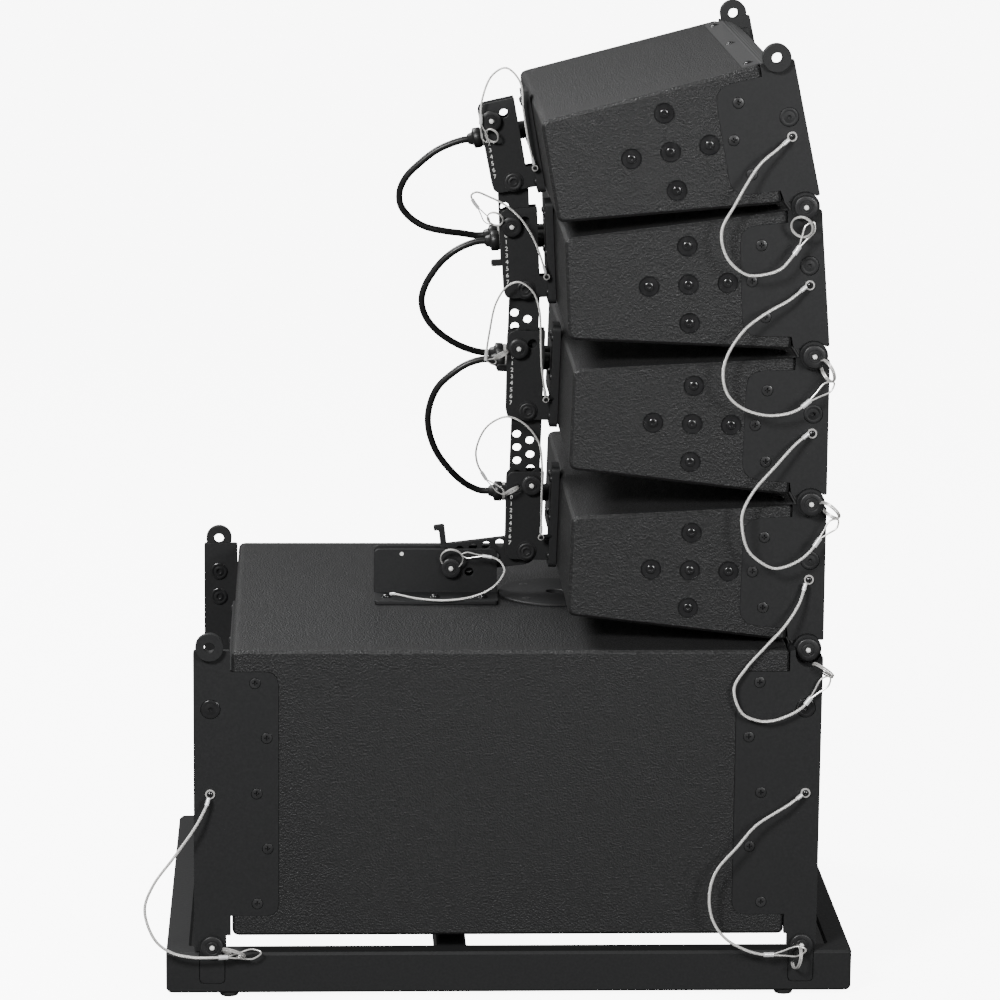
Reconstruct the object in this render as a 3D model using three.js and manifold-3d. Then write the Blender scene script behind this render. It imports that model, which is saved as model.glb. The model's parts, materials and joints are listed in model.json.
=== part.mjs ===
// A curved line array of four loudspeaker modules pinned on top of one subwoofer,
// which stands in a steel ground-stack base frame.
// Millimetres. +X is the front (grille) side, +Y the left side, +Z up.
// The origin is on the floor, under the middle of the base frame.
import * as THREE from "three";
import { mergeVertices } from "three/addons/utils/BufferGeometryUtils.js";
import Module from "manifold-3d";

const wasm = await Module();
wasm.setup();

// ---- driving dimensions ----
const GAP = 0.3; // between pieces that rest on each other
const FAR_OUT = 1000; // reach of a cut that runs clear of everything

// base frame
const BASE = { halfLength: 416, halfWidth: 297, rail: 30, bottom: 6, top: 57, edge: 3 };
const CROSS_BAR = { rear: -88, front: -52 };
const FEET_X = [-340, 334];
const FOOT = { topRadius: 13, floorRadius: 11, y: 282 };
const BASE_PIN = { rearX: -360, frontX: 353, z: 65 };
const POCKET = { half: 15.6, bottom: 18, depth: 10.6 };
const LUG = { half: 13, outer: 286, inner: 278, top: 80 };

// subwoofer
const SUB = { rear: -336, front: 331, halfWidth: 295, bottom: 77.5, top: 432, wall: 18, edge: 3.5 };
const SUB_PLATE = { thick: 8, tabTop: 405.8, tabBottom: 102.8, tabRadius: 16 };
const SUB_REAR_EYE = { x: -362, z: 437.3 };
const SUB_FRONT_INNER = 257; // inner face of the thick front columns beside the hinge lugs
const WOOFER = { z: 254.5, coneRadius: 137, flangeRadius: 150, magnetRadius: 70, depth: 130 };
const POLE = { x: 66, radius: 72, thick: 3, tube: 16, bore: 11, depth: 60 };
const TILT = { rear: -162, front: -8, halfWidth: 62, foot: 5, top: 492.3 };
const TILT_PIN = { x: -66, z: 469 };
const STOW_HOLE = { x: TILT_PIN.x + 23, z: TILT_PIN.z - 6 }; // the tilt pin's spare place
const SUB_BOARD = { setBack: 5, thick: 18 };
const AMP_PANEL = { thick: 6, halfWidth: 180, bottom: 140, top: 380 };

// full-range modules, each in its own frame: x forward, z up, origin on its lower hinge axis
const MODULE_HALF = 264;
const CABINET = {
  rear: -290, front: -26, rearTop: 152.5, frontTop: 173.2, rearBottom: 31.2, frontBottom: 7.2,
};
const CABINET_WALL = 15;
const CABINET_EDGE = 3.5;
const TOP_EYE = { x: -5.6, z: 178.5 };
const PLATE_THICK = 8;
const DRIVER = { back: -44, face: -32, y: 155, z: 91, cone: 54, flange: 62, magnet: 34, depth: 70 };
const RING = { radius: 16.5, bore: 6.6, outer: MODULE_HALF + 7, inner: MODULE_HALF - 7 };
const RING_ROOM = 17.3; // radius cut clear around a ring
const HINGE_LUG = { radius: 14, outer: MODULE_HALF - 8.4, inner: MODULE_HALF - 16.4 };
const GRILLE = { half: HINGE_LUG.inner - 0.6, thick: 2.5, flange: 20, flangeThick: 1.5 };
const REAR_PIVOT = { x: -328, z: 53 };
const REAR_HOLES = [[-342, 132], [-325, 138]];
const PIN_HOLE = 5.5; // radius of the rear pins' holes
const CHEEK = { outer: 14, inner: 9 };
const LINK = { half: 19, length: 106, thick: 10, top: 16, stemHalf: 4 };
const STEM_REACH = { hanging: 31, laidBack: 44 };
const HOOK = { thick: 7, past: 6 };
// Two staggered rows of setting holes in a link bar, each given by its first and last hole (x, z).
const LINK_ROWS = [
  { first: [-11.5, -32], last: [-8.5, -99.5], count: 5 },
  { first: [5, -39.5], last: [8.5, -93.5], count: 4 },
];
const LINK_HOLE = 5.4; // radius
const PIVOT_BOLT = { radius: 6, head: 11, headThick: 4, socket: 3.4 };
const PLUG = { z: 108, outY: 35, inY: 85, nose: -290.6, boot: -368, tail: -374, radius: 12.4 };

// where each module stands: its lower hinge axis follows from the module under it
const FIRST_HINGE = { x: 355, z: 428 };
const TILTS = [-1.6, -1.6, 2.8, 10.4]; // degrees, front up, from the lowest module
const STRUT_TURN = -83; // degrees, the lowest link bar laid back over the tilt bracket
const LEVEL_HOLE = 0; // rear hole used between modules, as an index into REAR_HOLES
const TILT_HOLE = 1; // rear hole used on the lowest module

// pins
const FRONT_PIN = { head: 14, headThick: 7, shank: 6, inner: 244 };
const REAR_PIN = { head: 12.5, headThick: 7, shank: 5, inner: 6.4 };
const BUTTON = { radius: 3.6, height: 2.6 };

const CABLE_RADIUS = 4.2;

// ---- materials ----
const finish = (color, roughness, metalness) =>
  new THREE.MeshStandardMaterial({ color, roughness, metalness });
const PAINT = finish(0x2b2b2c, 0.75, 0.0);
const STEEL_BLACK = finish(0x262728, 0.45, 0.6);
const GRILLE_BLACK = finish(0x2f3031, 0.6, 0.4);
const BOARD = finish(0x1c1b1a, 0.85, 0.0);
const CONE = finish(0x18181a, 0.7, 0.0);
const RUBBER = finish(0x1a1a1a, 0.9, 0.0);
const PIN_BLACK = finish(0x202123, 0.5, 0.3);

// ---- solids ----
function toSolid(geometry) {
  const bare = geometry.clone();
  bare.deleteAttribute("normal");
  bare.deleteAttribute("uv");
  const merged = mergeVertices(bare, 1e-4);
  const corners = merged.index.array;
  const kept = [];
  for (let i = 0; i < corners.length; i += 3) {
    const [a, b, c] = [corners[i], corners[i + 1], corners[i + 2]];
    if (a !== b && b !== c && c !== a) kept.push(a, b, c);
  }
  const vertProperties = new Float32Array(merged.attributes.position.array);
  const triVerts = new Uint32Array(kept);
  return new wasm.Manifold(new wasm.Mesh({ numProp: 3, vertProperties, triVerts }));
}

function toMesh(name, solid, material) {
  const data = solid.getMesh();
  const geometry = new THREE.BufferGeometry();
  geometry.setAttribute("position", new THREE.BufferAttribute(new Float32Array(data.vertProperties), 3));
  geometry.setIndex(new THREE.BufferAttribute(new Uint32Array(data.triVerts), 1));
  const mesh = new THREE.Mesh(geometry, material);
  mesh.name = name;
  return mesh;
}

const joined = (...solids) => solids.reduce((sum, next) => sum.add(next));
const cut = (solid, ...tools) => tools.reduce((rest, tool) => rest.subtract(tool), solid);

// An outline in (x, z) or (x, y) from corners [a, b, radius], given anticlockwise.
function outline(corners) {
  const shape = new THREE.Shape();
  corners.forEach(([a, b, radius = 0], i) => {
    const here = new THREE.Vector2(a, b);
    const [pa, pb] = corners[(i + corners.length - 1) % corners.length];
    const [na, nb] = corners[(i + 1) % corners.length];
    const before = new THREE.Vector2(pa, pb).sub(here).setLength(radius).add(here);
    const after = new THREE.Vector2(na, nb).sub(here).setLength(radius).add(here);
    if (i === 0) shape.moveTo(before.x, before.y);
    else shape.lineTo(before.x, before.y);
    if (radius > 0) shape.quadraticCurveTo(a, b, after.x, after.y);
  });
  shape.closePath();
  return shape;
}

// A slab of an (x, z) outline between two depths y0 < y1, with its rims rounded by edge.
function slab(shape, y0, y1, edge = 0, curveSegments = 3) {
  const geometry = new THREE.ExtrudeGeometry(shape, {
    depth: y1 - y0 - 2 * edge,
    bevelEnabled: edge > 0,
    bevelThickness: edge,
    bevelSize: edge,
    bevelOffset: -edge,
    bevelSegments: 1,
    curveSegments,
  });
  geometry.rotateX(Math.PI / 2);
  geometry.translate(0, y1 - edge, 0);
  return toSolid(geometry);
}

function box(x0, x1, y0, y1, z0, z1) {
  const geometry = new THREE.BoxGeometry(x1 - x0, y1 - y0, z1 - z0);
  geometry.translate((x0 + x1) / 2, (y0 + y1) / 2, (z0 + z1) / 2);
  return toSolid(geometry);
}

// A round bar along Y.
function barY(x, z, radius, y0, y1, sides = 12) {
  const geometry = new THREE.CylinderGeometry(radius, radius, y1 - y0, sides);
  geometry.translate(x, (y0 + y1) / 2, z);
  return toSolid(geometry);
}

// A round bar along Z.
function barZ(x, y, radius, z0, z1, sides = 24, lowRadius = radius) {
  const geometry = new THREE.CylinderGeometry(radius, lowRadius, z1 - z0, sides);
  geometry.rotateX(Math.PI / 2);
  geometry.translate(x, y, (z0 + z1) / 2);
  return toSolid(geometry);
}

// A turned solid: profile of [radius, height] pairs from axis to axis, turned about local Y.
function turned(profile, sides = 12) {
  const points = profile.map(([r, h]) => new THREE.Vector2(r, h));
  return new THREE.LatheGeometry(points, sides);
}

// The same solid on the other side of the XZ plane.
function mirrored(solid) {
  const data = solid.getMesh();
  const vertProperties = Float32Array.from(data.vertProperties, (value, i) => (i % 3 === 1 ? -value : value));
  const triVerts = Uint32Array.from(data.triVerts).reverse();
  return new wasm.Manifold(new wasm.Mesh({ numProp: 3, vertProperties, triVerts }));
}

// ---- quick-release pins: a disc head with a push button, its shank along Y ----
function releasePin(kind, faceY) {
  const reach = faceY - kind.inner;
  const profile = [
    [0, -reach],
    [kind.shank, -reach],
    [kind.shank, 0],
    [kind.head, 0],
    [kind.head, kind.headThick - 1],
    [kind.head - 1, kind.headThick],
    [BUTTON.radius, kind.headThick],
    [BUTTON.radius, kind.headThick + BUTTON.height],
    [0, kind.headThick + BUTTON.height],
  ];
  const geometry = turned(profile);
  geometry.translate(0, faceY, 0);
  return mirrored(toSolid(geometry));
}

function addPin(parent, name, kind, faceY, x, z, farSide = false) {
  const solid = releasePin(kind, faceY);
  const mesh = toMesh(name, farSide ? mirrored(solid) : solid, PIN_BLACK);
  mesh.position.set(x, 0, z);
  parent.add(mesh);
}

// ---- base frame ----
function buildBase(root) {
  const { halfLength, halfWidth, rail, bottom, top, edge } = BASE;
  const cell = (x0, x1) => outline([
    [x0, rail - halfWidth, 3], [x1, rail - halfWidth, 3],
    [x1, halfWidth - rail, 3], [x0, halfWidth - rail, 3],
  ]);
  const plan = outline([
    [-halfLength, -halfWidth, 9], [halfLength, -halfWidth, 9],
    [halfLength, halfWidth, 9], [-halfLength, halfWidth, 9],
  ]);
  plan.holes.push(cell(rail - halfLength, CROSS_BAR.rear), cell(CROSS_BAR.front, halfLength - rail));
  const rails = new THREE.ExtrudeGeometry(plan, {
    depth: top - bottom - 2 * edge,
    bevelThickness: edge,
    bevelSize: edge,
    bevelOffset: -edge,
    bevelSegments: 1,
    curveSegments: 2,
  });
  rails.translate(0, 0, bottom + edge);
  let frame = toSolid(rails);
  for (const x of [BASE_PIN.rearX, BASE_PIN.frontX]) {
    const pocket = slab(outline([
      [x - POCKET.half, POCKET.bottom, 6], [x + POCKET.half, POCKET.bottom, 6],
      [x + POCKET.half, top + 2], [x - POCKET.half, top + 2],
    ]), -halfWidth - 1, POCKET.depth - halfWidth);
    const lug = slab(outline([
      [x - LUG.half, top - 8], [x + LUG.half, top - 8],
      [x + LUG.half, LUG.top, 9], [x - LUG.half, LUG.top, 9],
    ]), -LUG.outer, -LUG.inner);
    const hole = barY(x, BASE_PIN.z, RING.bore, -LUG.outer - 1, 1 - LUG.inner);
    for (const side of [(solid) => solid, mirrored]) {
      frame = cut(joined(cut(frame, side(pocket)), side(lug)), side(hole));
    }
  }
  root.add(toMesh("base_frame", frame, STEEL_BLACK));
  FEET_X.forEach((x, row) => {
    [-FOOT.y, FOOT.y].forEach((y, column) => {
      const foot = barZ(x, y, FOOT.topRadius, 0, bottom - GAP, 12, FOOT.floorRadius);
      root.add(toMesh(`base_foot_${row * 2 + column + 1}`, foot, RUBBER));
    });
  });
  const face = SUB.halfWidth + 0.4;
  const places = [["rear", BASE_PIN.rearX], ["front", BASE_PIN.frontX]];
  for (const [where, x] of places) {
    addPin(root, `base_pin_${where}_near`, { ...FRONT_PIN, inner: 274 }, face, x, BASE_PIN.z);
    addPin(root, `base_pin_${where}_far`, { ...FRONT_PIN, inner: 274 }, face, x, BASE_PIN.z, true);
  }
}

// ---- subwoofer ----
function subRearPlate() {
  const { tabTop, tabBottom, tabRadius, thick } = SUB_PLATE;
  const x = BASE_PIN.rearX;
  const column = SUB.rear - 1.5;
  const shape = outline([
    [x - 12, 24, 5], [x + 12, 24, 5], [x + 12, 58.6], [-343, 58.6, 2], [-343, 78.5], [column, 78.5],
    [column, tabBottom], [-280, tabBottom, tabRadius], [-280, tabTop, tabRadius], [column, tabTop],
    [column, SUB.top, 3], [-381.5, SUB.top, 3], [-381.5, 58.6, 2], [x - 12, 58.6],
  ]);
  const { x: eyeX, z: eyeZ } = SUB_REAR_EYE;
  const ring = barY(eyeX, eyeZ, RING.radius, -SUB.halfWidth - 7, 2 - SUB.halfWidth, 18);
  const plate = joined(slab(shape, -SUB.halfWidth, thick - SUB.halfWidth), ring);
  return cut(
    plate,
    barY(eyeX, eyeZ, RING.bore, -FAR_OUT, 0),
    barY(x, BASE_PIN.z, RING.bore, -FAR_OUT, 0),
  );
}

function subFrontPlate() {
  const { tabTop, tabBottom, tabRadius, thick } = SUB_PLATE;
  const x = BASE_PIN.frontX;
  const column = SUB.front + 0.5;
  const shape = outline([
    [x - 12, 24, 5], [x + 12, 24, 5], [x + 12, 58.6], [371.2, 58.6, 2], [371.2, SUB.top, 3],
    [column, SUB.top, 3], [column, tabTop], [268, tabTop, tabRadius], [268, tabBottom, tabRadius],
    [column, tabBottom], [column, 78.5], [335.5, 78.5], [335.5, 58.6, 2], [x - 12, 58.6],
  ]);
  const block = (top) => outline([
    [column, 84, 3], [371.2, 84, 3], [371.2, top, 3], [column, top, 3],
  ]);
  const { x: hingeX, z: hingeZ } = FIRST_HINGE;
  const body = joined(
    slab(shape, -SUB.halfWidth, thick - SUB.halfWidth),
    slab(block(SUB.top), 1 - SUB.halfWidth, -SUB_FRONT_INNER),
    slab(block(SUB.top - 27), -SUB_FRONT_INNER - 1, -HINGE_LUG.inner),
  );
  const notched = cut(body, barY(hingeX, hingeZ, RING_ROOM, -FAR_OUT, -RING.outer, 18));
  const ring = barY(hingeX, hingeZ, RING.radius, -RING.outer, -RING.inner, 18);
  return cut(
    joined(notched, ring),
    barY(hingeX, hingeZ, RING.bore, -FAR_OUT, 0),
    barY(x, BASE_PIN.z, RING.bore, -FAR_OUT, 0),
  );
}

function subCabinet() {
  const { rear, front, halfWidth, bottom, top, wall, edge } = SUB;
  const { tabTop, tabBottom, tabRadius, thick } = SUB_PLATE;
  const shell = slab(outline([
    [rear, bottom, 9], [front, bottom, 7], [front, top, 7], [rear, top, 9],
  ]), -halfWidth, halfWidth, edge);
  const inside = box(rear + wall, front + 9, wall - halfWidth, halfWidth - wall, bottom + wall, top - wall);
  const rearPocket = slab(outline([
    [rear - 9, tabBottom - GAP], [-280 + GAP, tabBottom - GAP, tabRadius],
    [-280 + GAP, tabTop + GAP, tabRadius], [rear - 9, tabTop + GAP],
  ]), -halfWidth - 1, thick + GAP - halfWidth);
  const frontPocket = slab(outline([
    [268 - GAP, tabBottom - GAP, tabRadius], [front + 9, tabBottom - GAP],
    [front + 9, tabTop + GAP], [268 - GAP, tabTop + GAP, tabRadius],
  ]), -halfWidth - 1, thick + GAP - halfWidth);
  return cut(
    shell, inside, rearPocket, frontPocket, mirrored(rearPocket), mirrored(frontPocket),
    barZ(POLE.x, 0, POLE.tube + GAP, top - wall - 1, top + 1),
  );
}

// A cone driver about +X, its flange on the plane x = 0 and its magnet behind.
function coneDriver(flange, cone, magnet, depth, seat = GAP, sides = 20) {
  const geometry = turned([
    [0, -depth],
    [magnet, -depth],
    [magnet, -depth * 0.55],
    [cone, -6],
    [cone, seat],
    [flange, seat],
    [flange, 4],
    [cone, 4],
    [cone * 0.36, -depth * 0.32],
    [0, -depth * 0.24],
  ], sides);
  geometry.rotateZ(-Math.PI / 2);
  return geometry;
}

function buildSub(root) {
  const { rear, front, halfWidth, bottom, top, wall } = SUB;
  root.add(toMesh("sub_cabinet", subCabinet(), PAINT));
  const boardFront = front - SUB_BOARD.setBack;
  const boardRear = boardFront - SUB_BOARD.thick;
  const boardHalf = halfWidth - wall - GAP;
  const board = box(boardRear, boardFront, -boardHalf, boardHalf, bottom + wall + GAP, top - wall - GAP);
  const opening = new THREE.CylinderGeometry(WOOFER.coneRadius + 3, WOOFER.coneRadius + 3, 60, 20);
  opening.rotateZ(Math.PI / 2);
  opening.translate(boardFront, 0, WOOFER.z);
  root.add(toMesh("sub_baffle", cut(board, toSolid(opening)), BOARD));
  const driver = coneDriver(WOOFER.flangeRadius, WOOFER.coneRadius, WOOFER.magnetRadius, WOOFER.depth);
  const woofer = toMesh("sub_woofer", toSolid(driver), CONE);
  woofer.position.set(boardFront, 0, WOOFER.z);
  root.add(woofer);
  root.add(toMesh("sub_grille", subGrille(), GRILLE_BLACK));
  const panel = box(
    rear - AMP_PANEL.thick, rear - GAP,
    -AMP_PANEL.halfWidth, AMP_PANEL.halfWidth, AMP_PANEL.bottom, AMP_PANEL.top,
  );
  root.add(toMesh("sub_amp_panel", panel, STEEL_BLACK));
  for (const [where, plate] of [["rear", subRearPlate()], ["front", subFrontPlate()]]) {
    root.add(toMesh(`sub_plate_${where}_near`, plate, STEEL_BLACK));
    root.add(toMesh(`sub_plate_${where}_far`, mirrored(plate), STEEL_BLACK));
  }
  root.add(toMesh("pole_plate", polePlate(), STEEL_BLACK));
  root.add(toMesh("tilt_bracket", tiltBracket(), STEEL_BLACK));
  addPin(root, "tilt_pin", REAR_PIN, CHEEK.outer + 0.4, TILT_PIN.x, TILT_PIN.z);
}

function subGrille() {
  const { front, bottom, top } = SUB;
  const face = new THREE.Shape();
  face.moveTo(front + 2, bottom + 4);
  face.bezierCurveTo(front + 26, bottom + 4, front + 36, bottom + 40, front + 36, bottom + 90);
  face.lineTo(front + 36, top - 90);
  face.bezierCurveTo(front + 36, top - 40, front + 26, top - 4, front + 2, top - 4);
  face.lineTo(front + 2, top - 7);
  face.bezierCurveTo(front + 24, top - 7, front + 33, top - 40, front + 33, top - 90);
  face.lineTo(front + 33, bottom + 90);
  face.bezierCurveTo(front + 33, bottom + 40, front + 24, bottom + 7, front + 2, bottom + 7);
  face.closePath();
  return slab(face, -GRILLE.half, GRILLE.half, 0, 5);
}

function polePlate() {
  const top = SUB.top + GAP;
  const plate = joined(
    barZ(POLE.x, 0, POLE.radius, top, top + POLE.thick, 32),
    barZ(POLE.x, 0, POLE.tube, top - POLE.depth, top + 1, 16),
  );
  return cut(plate, barZ(POLE.x, 0, POLE.bore, top - POLE.depth + 4, top + 9, 16));
}

function tiltBracket() {
  const { rear, front, halfWidth, foot, top } = TILT;
  const floor = SUB.top + GAP;
  const base = box(rear, front, -halfWidth, halfWidth, floor, floor + foot);
  const cheek = slab(outline([
    [rear, floor + 1], [front, floor + 1], [front, top, 4], [rear, top, 4],
  ]), -CHEEK.outer, -CHEEK.inner);
  const holes = [
    barY(TILT_PIN.x, TILT_PIN.z, PIN_HOLE, -FAR_OUT, FAR_OUT),
    barY(STOW_HOLE.x, STOW_HOLE.z, PIN_HOLE, -FAR_OUT, FAR_OUT),
  ];
  return cut(joined(base, cheek, mirrored(cheek)), ...holes);
}

// ---- full-range module pieces, in the module's own frame ----
const topSlope = (CABINET.frontTop - CABINET.rearTop) / (CABINET.front - CABINET.rear);
const topAt = (x) => CABINET.frontTop + (x - CABINET.front) * topSlope;
const bottomSlope = (CABINET.frontBottom - CABINET.rearBottom) / (CABINET.front - CABINET.rear);
const bottomAt = (x) => CABINET.frontBottom + (x - CABINET.front) * bottomSlope;

function plateOutline(grow = 0) {
  return outline([
    [-23, 8], [19.5, 9.5, 2], [14.4, 173, 2], [-26, 174.3, 2], [-26.3, 159.5 + grow],
    [-83.5 - grow, 156.5 + grow, 20], [-83.5 - grow, 26.5 - grow, 20], [-25.7, 23 - grow],
  ]);
}

function cabinet() {
  const { rear, front } = CABINET;
  const wall = CABINET_WALL;
  const shell = slab(outline([
    [rear, CABINET.rearBottom, 9], [front, CABINET.frontBottom, 7],
    [front, CABINET.frontTop, 7], [rear, CABINET.rearTop, 9],
  ]), -MODULE_HALF, MODULE_HALF, CABINET_EDGE);
  const inside = slab(outline([
    [rear + wall, bottomAt(rear + wall) + wall], [front + 9, bottomAt(front + 9) + wall],
    [front + 9, topAt(front + 9) - wall], [rear + wall, topAt(rear + wall) - wall],
  ]), wall + 3 - MODULE_HALF, MODULE_HALF - wall - 3);
  const pocket = slab(plateOutline(GAP), -MODULE_HALF - 1, PLATE_THICK + GAP - MODULE_HALF);
  const flangeRear = front - GRILLE.flange - GAP;
  const depth = GRILLE.flangeThick + GAP;
  const topRebate = slab(outline([
    [flangeRear, topAt(flangeRear) - depth], [front + 9, topAt(front + 9) - depth],
    [front + 9, topAt(front) + 20], [flangeRear, topAt(front) + 20],
  ]), -GRILLE.half - GAP, GRILLE.half + GAP);
  const bottomRebate = slab(outline([
    [flangeRear, bottomAt(front) - 20], [front + 9, bottomAt(front) - 20],
    [front + 9, bottomAt(front + 9) + depth], [flangeRear, bottomAt(flangeRear) + depth],
  ]), -GRILLE.half - GAP, GRILLE.half + GAP);
  return cut(shell, inside, pocket, mirrored(pocket), topRebate, bottomRebate);
}

// The near side plate: tab and column let into the cabinet, top eye ring and bottom hinge lug.
function sidePlate() {
  const plate = slab(plateOutline(), -MODULE_HALF, PLATE_THICK - MODULE_HALF);
  const inner = -HINGE_LUG.inner;
  const block = slab(outline([
    [-14, 0], [14, 0], [13.5, 20], [10.5, 158, 3], [-23.5, 158, 3], [-22.5, 20],
  ]), 1 - MODULE_HALF, inner);
  const lug = barY(0, 0, HINGE_LUG.radius, -HINGE_LUG.outer, inner, 14);
  const ringRoom = barY(0, 0, RING_ROOM, -FAR_OUT, -HINGE_LUG.outer, 18);
  const ring = barY(TOP_EYE.x, TOP_EYE.z, RING.radius, -RING.outer, -RING.inner, 18);
  return cut(
    joined(cut(joined(plate, block), ringRoom), lug, ring),
    barY(0, 0, RING.bore, -FAR_OUT, 0),
    barY(TOP_EYE.x, TOP_EYE.z, RING.bore, -FAR_OUT, 0),
  );
}

// The grille: a bowed shell with a flange let into the cabinet's top and bottom front edges.
function grille() {
  const { flange, flangeThick, thick, half } = GRILLE;
  const back = CABINET.front - flange;
  const bend = CABINET.front + GAP;
  const lip = CABINET.front + 2;
  const nose = 11;
  const shape = new THREE.Shape();
  shape.moveTo(back, topAt(back) - flangeThick);
  shape.lineTo(bend, topAt(bend) - flangeThick);
  shape.lineTo(lip, topAt(lip) - thick);
  shape.bezierCurveTo(-8, 168, nose - thick - 2, 152, nose - thick, 128);
  shape.lineTo(nose - thick, 54);
  shape.bezierCurveTo(nose - thick - 2, 30, -8, 12, lip, bottomAt(lip) + thick);
  shape.lineTo(bend, bottomAt(bend) + flangeThick);
  shape.lineTo(back, bottomAt(back) + flangeThick);
  shape.lineTo(back, bottomAt(back));
  shape.lineTo(lip, bottomAt(lip));
  shape.bezierCurveTo(-6, 9, nose - 1, 28, nose, 54);
  shape.lineTo(nose, 128);
  shape.bezierCurveTo(nose - 1, 154, -6, 171, lip, topAt(lip));
  shape.lineTo(back, topAt(back));
  shape.closePath();
  return slab(shape, -half, half, 0, 6);
}

// The baffle board with its two cone drivers and the horn mouth between them.
function baffle() {
  const half = MODULE_HALF - CABINET_WALL - 3 - GAP;
  const { back, face, y, z, cone, flange, magnet, depth } = DRIVER;
  const board = box(back, face, -half, half, 24.8, 155.6);
  const holes = [-y, y].map((place) => {
    const hole = new THREE.CylinderGeometry(cone - 1, cone - 1, 30, 14);
    hole.rotateZ(Math.PI / 2);
    hole.translate(face, place, z);
    return toSolid(hole);
  });
  const drivers = [-y, y].map((place) => {
    const driver = coneDriver(flange, cone, magnet, depth, -1, 14);
    driver.translate(face, place, z);
    return toSolid(driver);
  });
  const horn = box(face - 8, face + 9, -y * 0.4, y * 0.4, z - 45, z + 45);
  return joined(cut(board, horn, ...holes), ...drivers);
}

// The rear bracket: base plate, two cheeks with the scale, and the link bar's pivot bolt.
function rearBracket() {
  const base = slab(outline([
    [-300.5, 34, 2], [CABINET.rear - 0.4, 34], [CABINET.rear - 0.4, 162], [-300.5, 162, 2],
  ]), -22, 22);
  const cheek = slab(outline([
    [-354, 42, 10], [-299, 42], [-299, 68], [-309.5, 68, 1], [-309.5, 155, 1.5], [-356, 153, 11],
  ]), -CHEEK.outer, -CHEEK.inner);
  const holes = REAR_HOLES.map(([x, z]) => barY(x, z, PIN_HOLE, -FAR_OUT, FAR_OUT, 10));
  const { x, z } = REAR_PIVOT;
  const headFace = -CHEEK.outer - PIVOT_BOLT.headThick;
  const bolt = barY(x, z, PIVOT_BOLT.radius, -CHEEK.outer, CHEEK.outer);
  const head = barY(x, z, PIVOT_BOLT.head, headFace, -CHEEK.outer, 14);
  const socket = barY(x, z, PIVOT_BOLT.socket, headFace - 1, headFace + 3, 6);
  const capped = joined(cut(head, socket), bolt, mirrored(head));
  return joined(cut(joined(base, cheek, mirrored(cheek)), ...holes), capped);
}

// The splay link bar, hanging from its pivot at the origin, with a stem at its end. The one laid
// back over the subwoofer has a longer stem with a hooked tip.
function linkBar(laidBack) {
  const { half, length, thick, top, stemHalf } = LINK;
  const bar = slab(outline([
    [-half, -length, 4], [half, -length, 4], [half, 0, 6], [10, top, 7], [-10, top, 7], [-half, 0, 6],
  ]), -thick / 2, thick / 2);
  const reach = laidBack ? STEM_REACH.laidBack : STEM_REACH.hanging;
  const inside = stemHalf * 2 - length;
  const parts = [bar, box(-reach, 1 - half, -stemHalf, stemHalf, -length, inside)];
  if (laidBack) {
    parts.push(box(-reach, HOOK.thick - reach, -stemHalf, stemHalf, -length - HOOK.past, inside));
  }
  const holes = [barY(0, 0, PIVOT_BOLT.radius + 0.6, -FAR_OUT, FAR_OUT)];
  for (const { first, last, count } of LINK_ROWS) {
    for (let i = 0; i < count; i += 1) {
      const along = i / (count - 1);
      const x = first[0] + (last[0] - first[0]) * along;
      const z = first[1] + (last[1] - first[1]) * along;
      holes.push(barY(x, z, LINK_HOLE, -FAR_OUT, FAR_OUT, 10));
    }
  }
  return cut(joined(...parts), ...holes);
}

// ---- module placing ----
function moduleFrames() {
  const frames = [];
  let { x, z } = FIRST_HINGE;
  for (const tilt of TILTS) {
    const turn = THREE.MathUtils.degToRad(tilt);
    frames.push({ x, z, turn });
    x += TOP_EYE.x * Math.cos(turn) - TOP_EYE.z * Math.sin(turn);
    z += TOP_EYE.x * Math.sin(turn) + TOP_EYE.z * Math.cos(turn);
  }
  return frames;
}

// Modules are numbered from the top, so the lowest is the last.
function buildModules(root) {
  const frames = moduleFrames();
  const count = frames.length;
  frames.forEach(({ x, z, turn }, level) => {
    const number = count - level;
    const group = new THREE.Group();
    group.position.set(x, 0, z);
    group.rotation.y = -turn;
    const plate = sidePlate();
    group.add(toMesh(`module_${number}_cabinet`, cabinet(), PAINT));
    group.add(toMesh(`module_${number}_grille`, grille(), GRILLE_BLACK));
    group.add(toMesh(`module_${number}_baffle`, baffle(), CONE));
    group.add(toMesh(`module_${number}_plate_near`, plate, STEEL_BLACK));
    group.add(toMesh(`module_${number}_plate_far`, mirrored(plate), STEEL_BLACK));
    group.add(toMesh(`module_${number}_rear_bracket`, rearBracket(), STEEL_BLACK));
    addPin(group, `front_pin_${number}`, FRONT_PIN, RING.outer + 0.4, 0, 0);
    const [holeX, holeZ] = REAR_HOLES[number === count ? TILT_HOLE : LEVEL_HOLE];
    addPin(group, `rear_pin_${number}`, REAR_PIN, CHEEK.outer + 0.4, holeX, holeZ);
    const link = toMesh(`link_bar_${number}`, linkBar(level === 0), STEEL_BLACK);
    link.position.set(REAR_PIVOT.x, 0, REAR_PIVOT.z);
    const below = level > 0 ? frames[level - 1].turn : THREE.MathUtils.degToRad(STRUT_TURN);
    link.rotation.y = turn - below;
    group.add(link);
    root.add(group);
  });
  return frames;
}

// ---- speaker cables between the modules, each with a plug at both ends ----
const toWorld = ({ x, z, turn }, px, py, pz) => new THREE.Vector3(
  x + px * Math.cos(turn) - pz * Math.sin(turn),
  py,
  z + px * Math.sin(turn) + pz * Math.cos(turn),
);

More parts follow.
